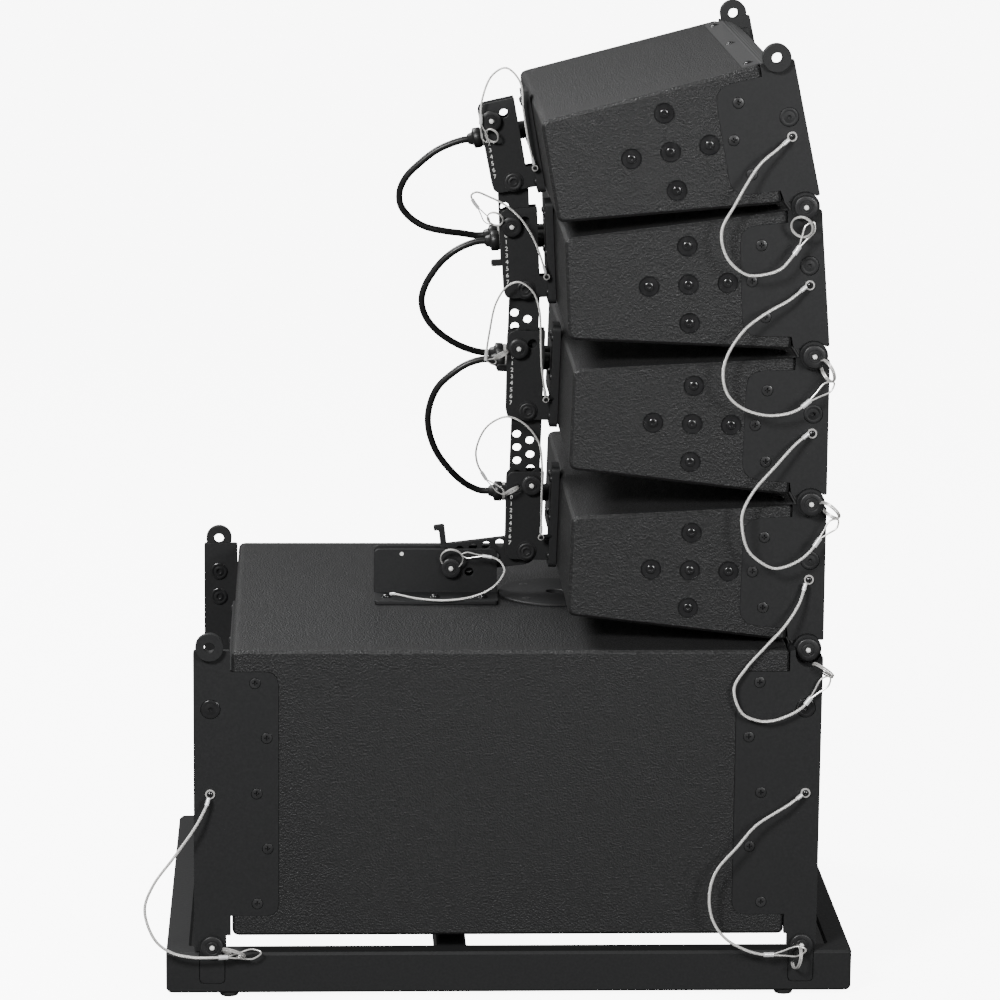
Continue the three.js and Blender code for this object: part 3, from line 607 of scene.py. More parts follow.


# ---- lanyards that keep each pin with its plate ----
# The route lists points from the anchor screw to the crimp. The tip is where the rope's end
# loop turns round the split ring, whose centre, normal and radius follow.
LANYARDS = {
    "front_pin_1": {
        "route": [(321, -269, 1045), (302, -276, 1030), (283, -281, 1014), (254, -287, 967),
            (239, -289, 936), (246, -290, 905), (267, -290, 886), (282, -289, 884), (309, -287, 891),
            (322, -284, 904), (332, -282, 918)],
        "tip": (348, -281, 946),
        "ring": ((334, -283, 941), (0.35, 0.85, 0.3), 13),
    },
    "front_pin_2": {
        "route": [(346, -269, 871), (322, -277, 853), (296, -282, 839), (269, -286, 819), (249, -289, 789),
            (244, -290, 766), (250, -290, 742), (267, -290, 726), (295, -289, 717), (319, -287, 718),
            (334, -286, 723), (349, -284, 734)],
        "tip": (377, -281, 755),
        "ring": ((369, -280, 769), (0.85, 0.38, 0.36), 14),
    },
    "front_pin_3": {
        "route": [(353, -269, 694), (333, -277, 679), (309, -282, 653), (285, -286, 626), (272, -288, 602),
            (270, -290, 588), (278, -290, 554), (295, -290, 538), (312, -289, 531), (338, -287, 539),
            (354, -285, 552), (365, -283, 567)],
        "tip": (386, -281, 589),
        "ring": ((376, -280, 600), (0.62, 0.42, 0.66), 14),
    },
    "front_pin_4": {
        "route": [(352, -269, 513), (343, -277, 486), (325, -287, 460), (301, -298, 437), (277, -301, 410),
            (264, -303, 387), (274, -305, 357), (292, -305, 348), (307, -305, 347), (326, -304, 352),
            (346, -303, 363), (357, -300, 375)],
        "tip": (379, -301, 401),
        "ring": ((371, -297, 408), (0.55, 0.3, 0.77), 14),
    },
    "base_pin_front_near": {
        "route": [(353, -300, 257), (333, -307, 244), (293, -312, 219), (272, -315, 195), (245, -317, 162),
            (238, -318, 132), (243, -318, 102), (259, -317, 79), (284, -316, 64), (303, -314, 58),
            (318, -312, 57)],
        "tip": (358, -307, 61),
        "ring": ((347, -306, 52), (0.95, 0.22, -0.18), 14),
    },
    "base_pin_rear_near": {
        "route": [(-362, -300, 257), (-366, -305, 244), (-378, -311, 221), (-404, -316, 184),
            (-430, -318, 148), (-440, -318, 118), (-428, -317, 80), (-409, -316, 64), (-383, -314, 57),
            (-358, -312, 56), (-341, -310, 56)],
        "tip": (-301, -306, 60),
        "ring": ((-334, -307, 60), (0.3, 0.45, 0.84), 14),
    },
    "rear_pin_1": {
        "route": [(33, -30, 975), (25, -34, 1005), (18, -34, 1046), (13, -32, 1082), (-4, -30, 1098),
            (-21, -28, 1088), (-33, -26, 1056), (-34, -25, 1028)],
        "tip": (-27, -24, 1006),
        "ring": ((-20, -23, 1014), (0.5, 0.75, 0.4), 9),
    },
    "rear_pin_2": {
        "route": [(49, -29, 840), (45, -32, 854), (32, -33, 888), (16, -33, 913), (-4, -31, 930),
            (-22, -30, 939), (-39, -29, 945), (-45, -28, 941), (-42, -27, 933), (-36, -26, 925)],
        "tip": (-22, -24, 905),
        "ring": ((-15, -23, 911), (0.3, 0.8, 0.5), 10),
    },
    "rear_pin_3": {
        "route": [(50, -29, 686), (44, -32, 729), (42, -33, 781), (40, -33, 801), (32, -33, 822),
            (15, -33, 834), (1, -32, 829), (-13, -31, 808), (-21, -29, 770), (-24, -27, 748),
            (-25, -26, 735)],
        "tip": (-12, -24, 732),
        "ring": ((-6, -23, 741), (-0.47, 0.35, 0.81), 10),
    },
    "rear_pin_4": {
        "route": [(46, -29, 511), (46, -32, 561), (46, -33, 603), (42, -33, 631), (29, -33, 651),
            (9, -33, 664), (-4, -32, 664), (-24, -31, 651), (-36, -29, 623), (-34, -28, 604),
            (-23, -26, 584)],
        "tip": (0, -24, 565),
        "ring": ((9, -23, 569), (-0.47, 0.35, 0.81), 10),
    },
    "tilt_pin": {
        "route": [(-146, -46, 442), (-138, -52, 444), (-107, -62, 440), (-72, -66, 439), (-36, -62, 444),
            (-12, -54, 455), (0, -46, 472), (-5, -40, 482), (-13, -36, 486), (-27, -33, 488)],
        "tip": (-53, -27, 488),
        "ring": ((-65, -23, 482), (0.1, 0.88, 0.35), 14),
    },
}
# The far rear base pin's lanyard hangs forward of its anchor instead of mirroring the near one.
FAR_REAR_LANYARD = {
    "route": [(-361, 300, 257), (-352, 307, 232), (-334, 312, 200), (-312, 316, 168), (-300, 318, 136),
        (-302, 318, 104), (-314, 317, 82), (-330, 315, 68), (-340, 312, 60)],
    "tip": (-366, 306, 50),
    "ring": ((-360, 306, 52), (0.5, -0.55, 0.6), 13),
}
REAR_PINS = ("rear_pin_1", "rear_pin_2", "rear_pin_3", "rear_pin_4", "tilt_pin")


def mirror(points):
    return [(x, -y, z) for x, y, z in points]


def end_loop(start, tip, width):
    """The rope's end turned back on itself: a teardrop from the crimp round its tip."""
    start, tip = Vector(start), Vector(tip)
    ahead = tip - start
    across = ahead.cross(Vector((0, 1, 0))).normalized() * width
    one_way = [start + across * 0.12, start + ahead * 0.3 + across * 0.5, start + ahead * 0.75 + across]
    other_way = [start + ahead * 0.75 - across, start + ahead * 0.3 - across * 0.5, start - across * 0.12]
    return smooth_route([*one_way, tip, *other_way], 1.5)


def build_lanyard(name, lanyard, body, pin_body):
    """A wire rope from its anchor to its crimp, with the end loop and split ring that hold the pin."""
    thin = name in REAR_PINS
    thick = THIN_LANYARD_DIAMETER if thin else LANYARD_DIAMETER
    anchor, second = (Vector(point) for point in lanyard["route"][:2])
    rim = anchor + (second - anchor).normalized() * TERMINAL_RIM
    line = smooth_route([rim, *lanyard["route"][1:]])
    bm = bmesh.new()
    add_tube(bm, line, thick / 2)
    rope = make_piece(name + "_lanyard", bm, "wire_rope")

    ferrule = bmesh.new()
    add_tube(ferrule, line[-CRIMP_STEPS:], thick * 0.85, 14)
    crimp = make_piece(name + "_crimp", ferrule, "aluminium", pin_body)
    sleeve = bmesh.new()
    add_tube(sleeve, line[:CRIMP_STEPS - 1], thick * 0.72, 14)
    anchor_crimp = make_piece(name + "_anchor_crimp", sleeve, "aluminium", body)

    ends = bmesh.new()
    wire = thick * 0.3
    add_tube(ends, end_loop(line[-1], lanyard["tip"], 3.5 if thin else 6), wire, 8)
    centre, normal, radius = lanyard["ring"]
    turns = Vector(normal).normalized() * thick * 0.32
    for half in (-1, 1):
        add_hoop(ends, Vector(centre) + turns * half, normal, radius, wire)
    ring = make_piece(name + "_split_ring", ends, "bright_steel", pin_body)

    if body == pin_body:
        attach(rope, body)
    else:
        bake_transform(rope)


def build_rear_anchor(pin, number, anchor):
    """The post that holds a thin lanyard's ring terminal beside the bracket's base plate."""
    base, body = FRAMES[number], f"module_{number}"
    x, y, z = base.inverted() @ Vector(anchor)
    post = bmesh.new()
    root = base @ Vector((BRACKET_FACE - BRACKET_THICK / 2, -18, z))
    add_tube(post, [root, base @ Vector((x, y + 3, z))], 3, 14)
    make_piece(pin + "_anchor_post", post, "rigging_steel", body)
    place = base @ shift(x, y + 1.2, z) @ OUT[NEAR]
    add_anchor(pin + "_anchor", place, body, 2.8)


def build_lanyards():
    for pin, lanyard in LANYARDS.items():
        body = f"module_{pin[-1]}" if pin[-1].isdigit() else "base"
        build_lanyard(pin, lanyard, body, pin)
        if pin.startswith("rear_pin"):
            build_rear_anchor(pin, int(pin[-1]), lanyard["route"][0])
        if pin in REAR_PINS:
            continue
        centre, normal, radius = lanyard["ring"]
        other = {
            "route": mirror(lanyard["route"]),
            "tip": mirror([lanyard["tip"]])[0],
            "ring": (*mirror([centre, normal]), radius),
        }
        if pin == "base_pin_rear_near":
            other = FAR_REAR_LANYARD
        far_pin = pin.replace("near", "far") if "near" in pin else pin + "_far"
        build_lanyard(far_pin, other, body, far_pin if far_pin in frame["bodies"] else body)


# ---- screws, bolts and pins ----
def add_crosshead(bm, place, radius, depth=2.4):
    """A countersunk head with a cross recess, its face on the place's XY plane."""
    arm, reach = radius * 0.14, radius * 0.52
    recess = cross(arm, reach)
    floor = cross(arm * 0.5, reach * 0.55)
    profile = [
        (0, -depth - 1), (radius * 0.5, -depth - 1), (radius * 0.97, -0.35), (radius, 0),
        (radius * 0.96, 0.12), (recess, 0.14), (floor, -depth), (0, -depth - 0.2),
    ]
    add_turned(bm, profile, place, cross_angles(arm, reach))


def add_socket_disc(bm, place, radius, socket, dome=0.9):
    """A flat round bolt head with a hexagon socket."""
    profile = [
        (0, -2), (radius - 0.3, -2), (radius, -0.4), (radius - 0.1, 0.1), (radius - 0.8, 0.45),
        (radius * 0.72, 0.5), (radius * 0.66, 0.2), (radius * 0.6, 0.25), (socket * 1.7, dome),
        (hexagon(socket * 1.12), dome), (hexagon(socket), dome - 0.3), (hexagon(socket), -1.2), (0, -1.6),
    ]
    add_turned(bm, profile, place, 48)


def add_stud(bm, place):
    """A round bumper let into the cabinet, with a small domed socket screw at its middle."""
    profile = [
        (0, -2.6), (12, -2.6), (12.2, -0.2), (12, 0.25), (11.6, 0.3), (11.2, 0), (10.8, -0.8), (6.6, -1.1),
        (6, -1), (5.6, -0.2), (4.8, 0.4), (3.6, 0.8), (hexagon(2.3), 0.85), (hexagon(2), 0.5),
        (hexagon(2), -1), (0, -1.4),
    ]
    add_turned(bm, profile, place, 48)


def add_button_head(bm, place, radius, height, socket):
    """A domed screw head standing on the place's XY plane, with a hexagon socket."""
    dome = [
        (radius * math.cos(math.radians(a)), height * math.sin(math.radians(a)))
        for a in range(0, 66, 9)
    ]
    recess = [(hexagon(socket), height * 0.93), (hexagon(socket), 0.3), (0, 0.2)]
    profile = [(0, -0.6), (radius, -0.6), *dome, *recess]
    add_turned(bm, profile, place, 24)


def add_washer(bm, place, inner, outer, low, high):
    """A flat ring with softened rims."""
    soft = min(0.4, (high - low) / 3)
    profile = [
        (inner, low + soft), (inner + soft, low), (outer - soft, low), (outer, low + soft),
        (outer, high - soft), (outer - soft, high), (inner + soft, high), (inner, high - soft),
    ]
    add_turned(bm, profile, place, 48, hoop=True)


def release_pin(name, place, head, reach, body, node=None):
    """A quick-release pin: a grooved disc head, its shank, and a bright push button."""
    thick = 7
    bm = bmesh.new()
    add_turned(bm, [
        (0, -reach), (4.6, -reach), (5, 0.6 - reach), (5, 0), (head - 0.8, 0), (head, 0.8),
        (head, thick - 1.2), (head - 0.5, thick - 0.4), (head - 1.4, thick), (head * 0.62, thick),
        (head * 0.58, thick - 0.5), (head * 0.5, thick - 0.5), (head * 0.46, thick), (4.6, thick),
        (4.2, thick - 0.6), (0, thick - 0.6),
    ], place, 48)
    pin = make_piece(name + "_body", bm, "pin_black", body)
    if node:
        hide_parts(node)
    bm = bmesh.new()
    add_turned(bm, [
        (0, thick - 0.9), (2.9, thick - 0.9), (2.9, thick + 1.2), (2.5, thick + 1.9), (1.7, thick + 2.3),
        (0, thick + 2.4),
    ], place, 24)
    make_piece(name + "_button", bm, "white_print", body)


def build_pins():
    wide, small = 14, 12.5  # head radius
    cheek_face = CHEEK_OUT + 0.4
    for number in MODULES:
        base, front, rear = FRAMES[number], f"front_pin_{number}", f"rear_pin_{number}"
        face = EYE_FACE + 0.2
        release_pin(front, on_side(base, 0, 0, face, NEAR), wide, 27, front, front)
        release_pin(front + "_far", on_side(base, 0, 0, face, FAR), wide, 27, f"module_{number}")
        hole = REAR_HOLES[1] if number == 4 else REAR_HOLES[0]
        release_pin(rear, on_side(base, *hole, cheek_face, NEAR), small, 8, rear, rear)
    release_pin("tilt_pin", on_side(WORLD, *TILT_PIN, cheek_face, NEAR), small, 8, "tilt_pin", "tilt_pin")
    for where, x in BASE_PIN_X.items():
        for side in (NEAR, FAR):
            name = f"base_pin_{where}_{SIDE_NAMES[side]}"
            release_pin(name, on_side(WORLD, x, BASE_PIN_Z, SUB_HALF + 0.4, side), wide, 21, name, name)


# ---- modules ----
SCREW_RECESS = 6.9  # radius
SCREW_HEAD = 6.3  # radius
PLATE_SCREWS = [(-58.3, 133.9), (-70.6, 91.3), (-55.9, 47.7)]
PLATE_BOLT = (-2.1, 107)
PLATE_ANCHOR = (-2.4, 83.8)
STUD_CENTRE = (-146, 91)
STUD_STEP = 46.6
STUDS = [(STUD_CENTRE[0] + i * STUD_STEP, STUD_CENTRE[1] + j * STUD_STEP * 0.99)
         for i, j in ((0, 0), (-1, 0), (1, 0), (0, -1), (0, 1))]
GRILLE = {"half": 247, "thick": 2.2, "rear": -46, "lip": -24, "nose": 11, "rib": 1.1, "pitch": 4.4}
CABINET = {"rear": -290, "front": -26, "top": (152.5, 173.2), "low": (31.2, 7.2)}  # heights: rear, front


def height_at(face, x):
    """The height of the cabinet's sloping top or low face."""
    rear, front = CABINET[face]
    slope = (front - rear) / (CABINET["front"] - CABINET["rear"])
    return front + (x - CABINET["front"]) * slope


def side_cutters(base, half, sides, recesses, above=4):
    """Cutters for round recesses in side faces: (radius, depth, places) for each size."""
    bm = bmesh.new()
    for radius, depth, places in recesses:
        profile = [(0, -depth), (radius, -depth), (radius, above), (0, above)]
        for x, z in places:
            for side in sides:
                add_turned(bm, profile, on_side(base, x, z, half, side), 40)
    return bm


def build_module_shells(number):
    base, body = FRAMES[number], f"module_{number}"
    pockets = side_cutters(base, MODULE_HALF, (NEAR, FAR), [(12.5, 2.7, STUDS)], above=6)
    finish_node(f"{body}_cabinet", "cabinet_paint", 1.3, pockets, sharpest=20)
    for side in (NEAR, FAR):
        recesses = [(SCREW_RECESS, 5, PLATE_SCREWS), (11.6, 2.2, [PLATE_BOLT])]
        cutters = side_cutters(base, MODULE_HALF, [side], recesses)
        finish_node(f"{body}_plate_{SIDE_NAMES[side]}", "rigging_steel", 0.6, cutters)


def build_module_fasteners(number):
    base, body = FRAMES[number], f"module_{number}"
    for side in (NEAR, FAR):
        where = SIDE_NAMES[side]
        studs = bmesh.new()
        for x, z in STUDS:
            add_stud(studs, on_side(base, x, z, MODULE_HALF, side))
        make_piece(f"{body}_studs_{where}", studs, "gloss_black", body)
        screws = bmesh.new()
        for x, z in PLATE_SCREWS:
            add_crosshead(screws, on_side(base, x, z, MODULE_HALF - 0.3, side), SCREW_HEAD)
        make_piece(f"{body}_plate_screws_{where}", screws, "screw_black", body)
        bolts = bmesh.new()
        add_socket_disc(bolts, on_side(base, *PLATE_BOLT, MODULE_HALF - 0.2, side), 11, 2.2)
        make_piece(f"{body}_hinge_bolt_{where}", bolts, "rigging_steel", body)
        add_anchor(f"{body}_anchor_{where}", on_side(base, *PLATE_ANCHOR, MODULE_HALF, side), body)
        eye = bmesh.new()
        add_washer(eye, on_side(base, *TOP_EYE, EYE_FACE, side), EYE_HOLE, EYE_OUTER, -14.4, 0)
        make_piece(f"{body}_top_eye_{where}", eye, "rigging_steel", body)


def add_anchor(name, place, body, head=4.2):
    """The lanyard's ring terminal under a domed socket screw."""
    ring = bmesh.new()
    add_washer(ring, place, head * 0.9, head * 1.42, 0.1, 2.2)
    make_piece(name + "_terminal", ring, "bright_steel", body)
    screw = bmesh.new()
    add_button_head(screw, place @ shift(0, 0, 1.2), head, 3.1, 1.6)
    make_piece(name + "_screw", screw, "gloss_black", body)


def grille_outline():
    """The module grille's outer line from its top flange round the nose to its bottom flange."""
    lip, nose = GRILLE["lip"], GRILLE["nose"]
    upper = bezier((lip, height_at("top", lip)), (-6, 171), (nose - 1, 154), (nose, 128))
    lower = bezier((nose, 54), (nose - 1, 28), (-6, 9), (lip, height_at("low", lip)))
    return upper + lower


def bezier(p0, p1, p2, p3, steps=40):
    line = []
    for i in range(steps + 1):
        t = i / steps
        weights = ((1 - t) ** 3, 3 * t * (1 - t) ** 2, 3 * t * t * (1 - t), t ** 3)
        line.append(tuple(sum(w * p[k] for w, p in zip(weights, (p0, p1, p2, p3))) for k in (0, 1)))
    return line


def ribbed_sheet(line, rib, pitch, thick):
    """The line, resampled and raised into round ribs on its left, then back along its inner side."""
    flat = smooth_route([(x, 0, z) for x, z in line], pitch / 5)
    length = route_length(flat)
    count = round(length / pitch)
    travelled, outer, inner = 0.0, [], []
    for i, point in enumerate(flat):
        before, after = flat[max(i - 1, 0)], flat[min(i + 1, len(flat) - 1)]
        travelled += (point - before).length if i else 0
        out = (after - before).normalized().cross(Vector((0, 1, 0)))
        wave = abs(math.sin(math.pi * count * travelled / length))
        outer.append(point + out * rib * (wave - 1))
        inner.append(point - out * thick)
    return outer, inner


def add_extrusion(bm, section, half, base):
    """A closed (x, 0, z) section drawn out to both sides of the middle plane."""
    rings = [[base @ Vector((p[0], y, p[2])) for p in section] for y in (-half, half)]
    flat = [Vector((p[0], p[2])) for p in section]
    for ring in add_rings(bm, rings, close_ends=False):
        fill_between(bm, [ring], [flat])


def build_grille(number):
    """A ribbed steel grille with plain flanges let into the cabinet, each held by three screws."""
    base, body = FRAMES[number], f"module_{number}"
    rear, lip, thick = GRILLE["rear"], GRILLE["lip"], 1.5
    outer, inner = ribbed_sheet(grille_outline(), GRILLE["rib"], GRILLE["pitch"], GRILLE["thick"])
    top_flange = [Vector((x, 0, height_at("top", x))) for x in (rear, lip - 0.6)]
    low_flange = [Vector((x, 0, height_at("low", x))) for x in (lip - 0.6, rear)]
    drop = Vector((0, 0, thick))
    under_low = [point + drop for point in reversed(low_flange)]
    under_top = [point - drop for point in reversed(top_flange)]
    section = [*top_flange, *outer, *low_flange, *under_low, *inner[::-1], *under_top]
    bm = bmesh.new()
    add_extrusion(bm, section, GRILLE["half"], base)
    grille = make_piece(f"{body}_grille_shell", bm, "grille_steel", body, sharp=40)
    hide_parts(f"{body}_grille")
    screws = bmesh.new()
    across = GRILLE["half"] * 0.87
    tilt = math.atan2(height_at("top", -30) - height_at("top", -40), 10)
    for y in (-across, 0, across):
        middle = -36
        for upright, z in ((1, height_at("top", middle)), (-1, height_at("low", middle))):
            turn = Matrix.Rotation(-tilt if upright == 1 else math.pi + tilt, 4, "Y")
            place = base @ shift(middle, y, z) @ turn
            add_button_head(screws, place @ shift(0, 0, 0.3), 4.4, 1.8, 1.5)
            add_washer(screws, place, 3, 6.4, -0.1, 0.35)
    make_piece(f"{body}_grille_screws", screws, "gloss_black", body)


# ---- rear bracket and link bars ----
def corner_loop(corners, steps=7):
    """A closed loop of points from corners (a, b, radius), each rounded by a quadratic curve."""
    loop = []
    for i, (a, b, *rest) in enumerate(corners):
        here = Vector((a, b))
        radius = rest[0] if rest else 0
        if not radius:
            loop.append(here)
            continue
        before = here + (Vector(corners[i - 1][:2]) - here).normalized() * radius
        after = here + (Vector(corners[(i + 1) % len(corners)][:2]) - here).normalized() * radius
        for k in range(steps + 1):
            t = k / steps
            loop.append(before * (1 - t) ** 2 + here * 2 * t * (1 - t) + after * t * t)
    return loop


def plate_loop(low_a, high_a, low_b, high_b, radius):
    """A rectangle with four corners of one radius."""
    corners = [(low_a, low_b), (high_a, low_b), (high_a, high_b), (low_a, high_b)]
    return corner_loop([(a, b, radius) for a, b in corners])


def circle_loop(a, b, radius, count=28):
    return [Vector((a + radius * math.cos(t), b + radius * math.sin(t))) for t in even_angles(count)]


def inset(loop, distance):
    """The loop moved to its left by a distance, with mitred corners."""
    moved = []
    for i, here in enumerate(loop):
        back = (here - loop[i - 1]).normalized()
        ahead = (loop[(i + 1) % len(loop)] - here).normalized()
        left = Vector((-back.y - ahead.y, back.x + ahead.x)).normalized()
        spread = max(0.4, left.dot(Vector((-back.y, back.x))))
        moved.append(here + left * distance / spread)
    return moved


def encloses(loop, point):
    """Whether a closed loop has the point inside it."""
    crossings = 0
    for a, b in zip(loop, loop[1:] + loop[:1]):
        if (a.y > point.y) != (b.y > point.y):
            crossings += point.x < a.x + (point.y - a.y) * (b.x - a.x) / (b.y - a.y)
    return crossings % 2 == 1


def fill_between(bm, rims, flat_loops):
    """Closes the end of a slab: triangles inside the first loop and outside the others."""
    flat = [point for loop in flat_loops for point in loop]
    verts = [vert for rim in rims for vert in rim]
    edges, start = [], 0
    for loop in flat_loops:
        count = len(loop)
        edges += [(start + i, start + (i + 1) % count) for i in range(count)]
        start += count
    every_triangle = 0
    made = delaunay_2d_cdt(flat, edges, [], every_triangle, 1e-5)
    points, faces, sources = made[0], made[2], made[3]
    outer, *holes = flat_loops
    for face in faces:
        middle = sum((points[i] for i in face), Vector((0, 0))) / len(face)
        if encloses(outer, middle) and not any(encloses(hole, middle) for hole in holes):
            bm.faces.new([verts[sources[i][0]] for i in face])


def add_slab(bm, outer, holes, low, high, edge, place):
    """A plate between two heights of the place's Z axis, with round holes and softened rims."""
    ends = {low: [], high: []}
    soft = ((edge, 0), (edge * 0.3, edge * 0.3), (0, edge))
    stations = [(cut, low + rise) for cut, rise in soft]
    stations += [(cut, high - rise) for cut, rise in soft[::-1]]
    loops = [outer] + [hole[::-1] for hole in holes]
    for loop in loops:
        rings = [[place @ Vector((p.x, p.y, height)) for p in inset(loop, cut)] for cut, height in stations]
        made = add_rings(bm, rings, close_ends=False)
        ends[low].append(made[0])
        ends[high].append(made[-1])
    flat_loops = [inset(loop, edge) for loop in loops]
    for rims in ends.values():
        fill_between(bm, rims, flat_loops)


CHEEK = [(-354, 42, 10), (-299, 42), (-299, 68), (-309.5, 68, 1), (-309.5, 155, 1.5), (-356, 153, 11)]


def build_rear_bracket(number):
    """The base plate on the cabinet's back with its two cheeks, scale, pivot bolt and screws."""
    base, body = FRAMES[number], f"module_{number}"
    bm = bmesh.new()
    back = base @ shift(BRACKET_FACE, 0, 0) @ OUT_REAR
    add_slab(bm, plate_loop(-22, 22, 34, 162, 7), [], 0, BRACKET_THICK, 0.6, back)
    holes = [circle_loop(x, z, PIN_HOLE) for x, z in REAR_HOLES]
    for side in (NEAR, FAR):
        low, high = (CHEEK_IN, CHEEK_OUT) if side == NEAR else (-CHEEK_OUT, -CHEEK_IN)
        add_slab(bm, corner_loop(CHEEK), holes, low, high, 0.5, base @ OUT[NEAR])
    bracket = make_piece(f"{body}_bracket", bm, "rigging_steel", body, weighted=True)
    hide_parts(f"{body}_rear_bracket")
    bolts = bmesh.new()
    for side in (NEAR, FAR):
        place = on_side(base, *REAR_PIVOT, CHEEK_OUT, side)
        add_washer(bolts, place, 7, 12.5, 0, 1.2)
        add_socket_disc(bolts, place @ shift(0, 0, 3.4), 10.4, 3.4, 0.5)
    for height in (49, 98, 147):
        for y in (-17, 17):
            spot = shift(BRACKET_FACE - BRACKET_THICK, y, height)
            add_button_head(bolts, base @ spot @ OUT_REAR, 4.6, 3, 1.6)
    make_piece(f"{body}_bracket_bolts", bolts, "pin_black", body)
    add_scale(number)


def add_scale(number):
    """White numerals 0 to 7 down the near cheek's rear edge, one for each splay step."""
    mesh_sum = bmesh.new()
    first_height, pitch = 121, 8.3
    for step in range(8):
        text = bpy.data.curves.new("numeral", "FONT")
        text.body = str(step)
        text.size = 7.4
        text.extrude = 0.06
        text.align_x = "CENTER"
        text.align_y = "CENTER"
        holder = put("numeral", text)
        drawn = bpy.data.meshes.new_from_object(holder.evaluated_get(bpy.context.evaluated_depsgraph_get()))
        height = first_height - step * pitch
        place = on_side(FRAMES[number], -349.3, height, CHEEK_OUT + 0.05, NEAR)
        drawn.transform(place)
        mesh_sum.from_mesh(drawn)
        bpy.data.objects.remove(holder)
    make_piece(f"module_{number}_scale", mesh_sum, "white_print", f"module_{number}")


# Two staggered rows of setting holes in a link bar: first hole, last hole and how many.
LINK_ROWS = [((-11.5, -32), (-8.5, -99.5), 5), ((5, -39.5), (8.5, -93.5), 4)]
LINK_HOLE = 5.4  # radius
LINK_HALF_THICK = 5
LAID_BACK = math.radians(83)  # the lowest bar's turn from hanging


def build_link_bar(number):
    """A splay link bar: its pivot hole, two staggered rows of setting holes and a stem at its end."""
    node = f"link_bar_{number}"
    x, z = joint_point(f"{node}_swing")
    laid_back = number == 4
    turn = LAID_BACK if laid_back else FRAMES[number + 1].to_euler().y
    place = shift(x, 0, z) @ Matrix.Rotation(turn, 4, "Y") @ OUT[NEAR]
    outline = corner_loop([(-19, -106, 4), (19, -106, 4), (19, 0, 6), (10, 16, 7), (-10, 16, 7), (-19, 0, 6)])
    holes = [circle_loop(0, 0, 6.6)]
    for first, last, count in LINK_ROWS:
        for i in range(count):
            holes.append(circle_loop(*Vector(first).lerp(Vector(last), i / (count - 1)), LINK_HOLE))
    bm = bmesh.new()
    add_slab(bm, outline, holes, -LINK_HALF_THICK, LINK_HALF_THICK, 0.4, place)
    if laid_back:
        stem = [(-44, -112, 3), (-37, -112, 2), (-37, -106, 2), (-18, -106), (-18, -98), (-44, -98, 3)]
    else:
        stem = [(-31, -106, 3), (-18, -106), (-18, -98), (-31, -98, 3)]
    add_slab(bm, corner_loop(stem), [], -4, 4, 0.8, place)
    bar = make_piece(node + "_plate", bm, "rigging_steel", node, weighted=True)
    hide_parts(node)


# ---- subwoofer and base ----
SUB_SCREWS = [(-308, 392), (-294, 324.3), (-306, 255.5), (-293, 187), (-305.5, 118),
              (295.6, 392.5), (284, 325), (300, 255.7), (287.6, 188.2), (303, 118.2)]
SUB_BOLTS = [(-361, 360), (351.7, 360.8)]
SUB_ANCHORS = [(-361.7, 255.4), (353.8, 255.4)]
SUB_EYE = (-362, 437.3)
SUB_EYE_FACE = 302.2
TILT = {"rear": -162, "front": -8, "half": 62, "low": 432.3, "top": 492.3}
PANEL_FACE = -342
POLE_X = 66
TOP_Z = 432


def build_sub():
    finish_node("sub_cabinet", "cabinet_paint", 1.5, sharpest=20)
    for side in (NEAR, FAR):
        where = SIDE_NAMES[side]
        for end, sign in (("rear", -1), ("front", 1)):
            recesses = [
                (radius, depth, [(x, z) for x, z in places if x * sign > 0])
                for radius, depth, places in ((SCREW_RECESS, 5, SUB_SCREWS), (12, 2.2, SUB_BOLTS))
            ]
            cutters = side_cutters(WORLD, SUB_HALF, [side], recesses)
            finish_node(f"sub_plate_{end}_{where}", "rigging_steel", 0.6, cutters)
        screws = bmesh.new()
        for x, z in SUB_SCREWS:
            add_crosshead(screws, on_side(WORLD, x, z, SUB_HALF - 0.3, side), SCREW_HEAD)
        make_piece(f"sub_plate_screws_{where}", screws, "screw_black", "base")
        bolts = bmesh.new()
        for x, z in SUB_BOLTS:
            add_socket_disc(bolts, on_side(WORLD, x, z, SUB_HALF - 0.2, side), 11.4, 2.4)
        for z in (394.6, 360.6):
            inner = shift(SUB_EYE[0], side * (SUB_HALF - PLATE_THICK), z) @ OUT[-side]
            add_socket_disc(bolts, inner @ shift(0, 0, 2), 11, 3)
        make_piece(f"sub_column_bolts_{where}", bolts, "gloss_black", "base")
        for x, z in SUB_ANCHORS:
            end = "rear" if x < 0 else "front"
            add_anchor(f"sub_anchor_{end}_{where}", on_side(WORLD, x, z, SUB_HALF, side), "base")
        eyes = bmesh.new()
        add_washer(eyes, on_side(WORLD, *SUB_EYE, SUB_EYE_FACE, side), EYE_HOLE, EYE_OUTER, -9.6, 0)
        hinge_x, hinge_z = joint_point("array_tilt")
        add_washer(eyes, on_side(WORLD, hinge_x, hinge_z, EYE_FACE, side), EYE_HOLE, EYE_OUTER, -14.4, 0)
        make_piece(f"sub_eyes_{where}", eyes, "rigging_steel", "base")


def build_sub_grille():
    """The subwoofer's bowed grille, with the same ribs as the modules'."""
    front, low, top, lip = 331, 77.5, 432, 2
    face = front + 36
    upper = bezier((front + lip, top - 4), (front + 26, top - 4), (face, top - 40), (face, top - 90))
    lower = bezier((face, low + 90), (face, low + 40), (front + 26, low + 4), (front + lip, low + 4))
    outer, inner = ribbed_sheet(upper + lower, GRILLE["rib"], GRILLE["pitch"], 2.6)
    bm = bmesh.new()
    add_extrusion(bm, outer + inner[::-1], GRILLE["half"], WORLD)
    grille = make_piece("sub_grille_shell", bm, "grille_steel", "base", sharp=40)
    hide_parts("sub_grille")


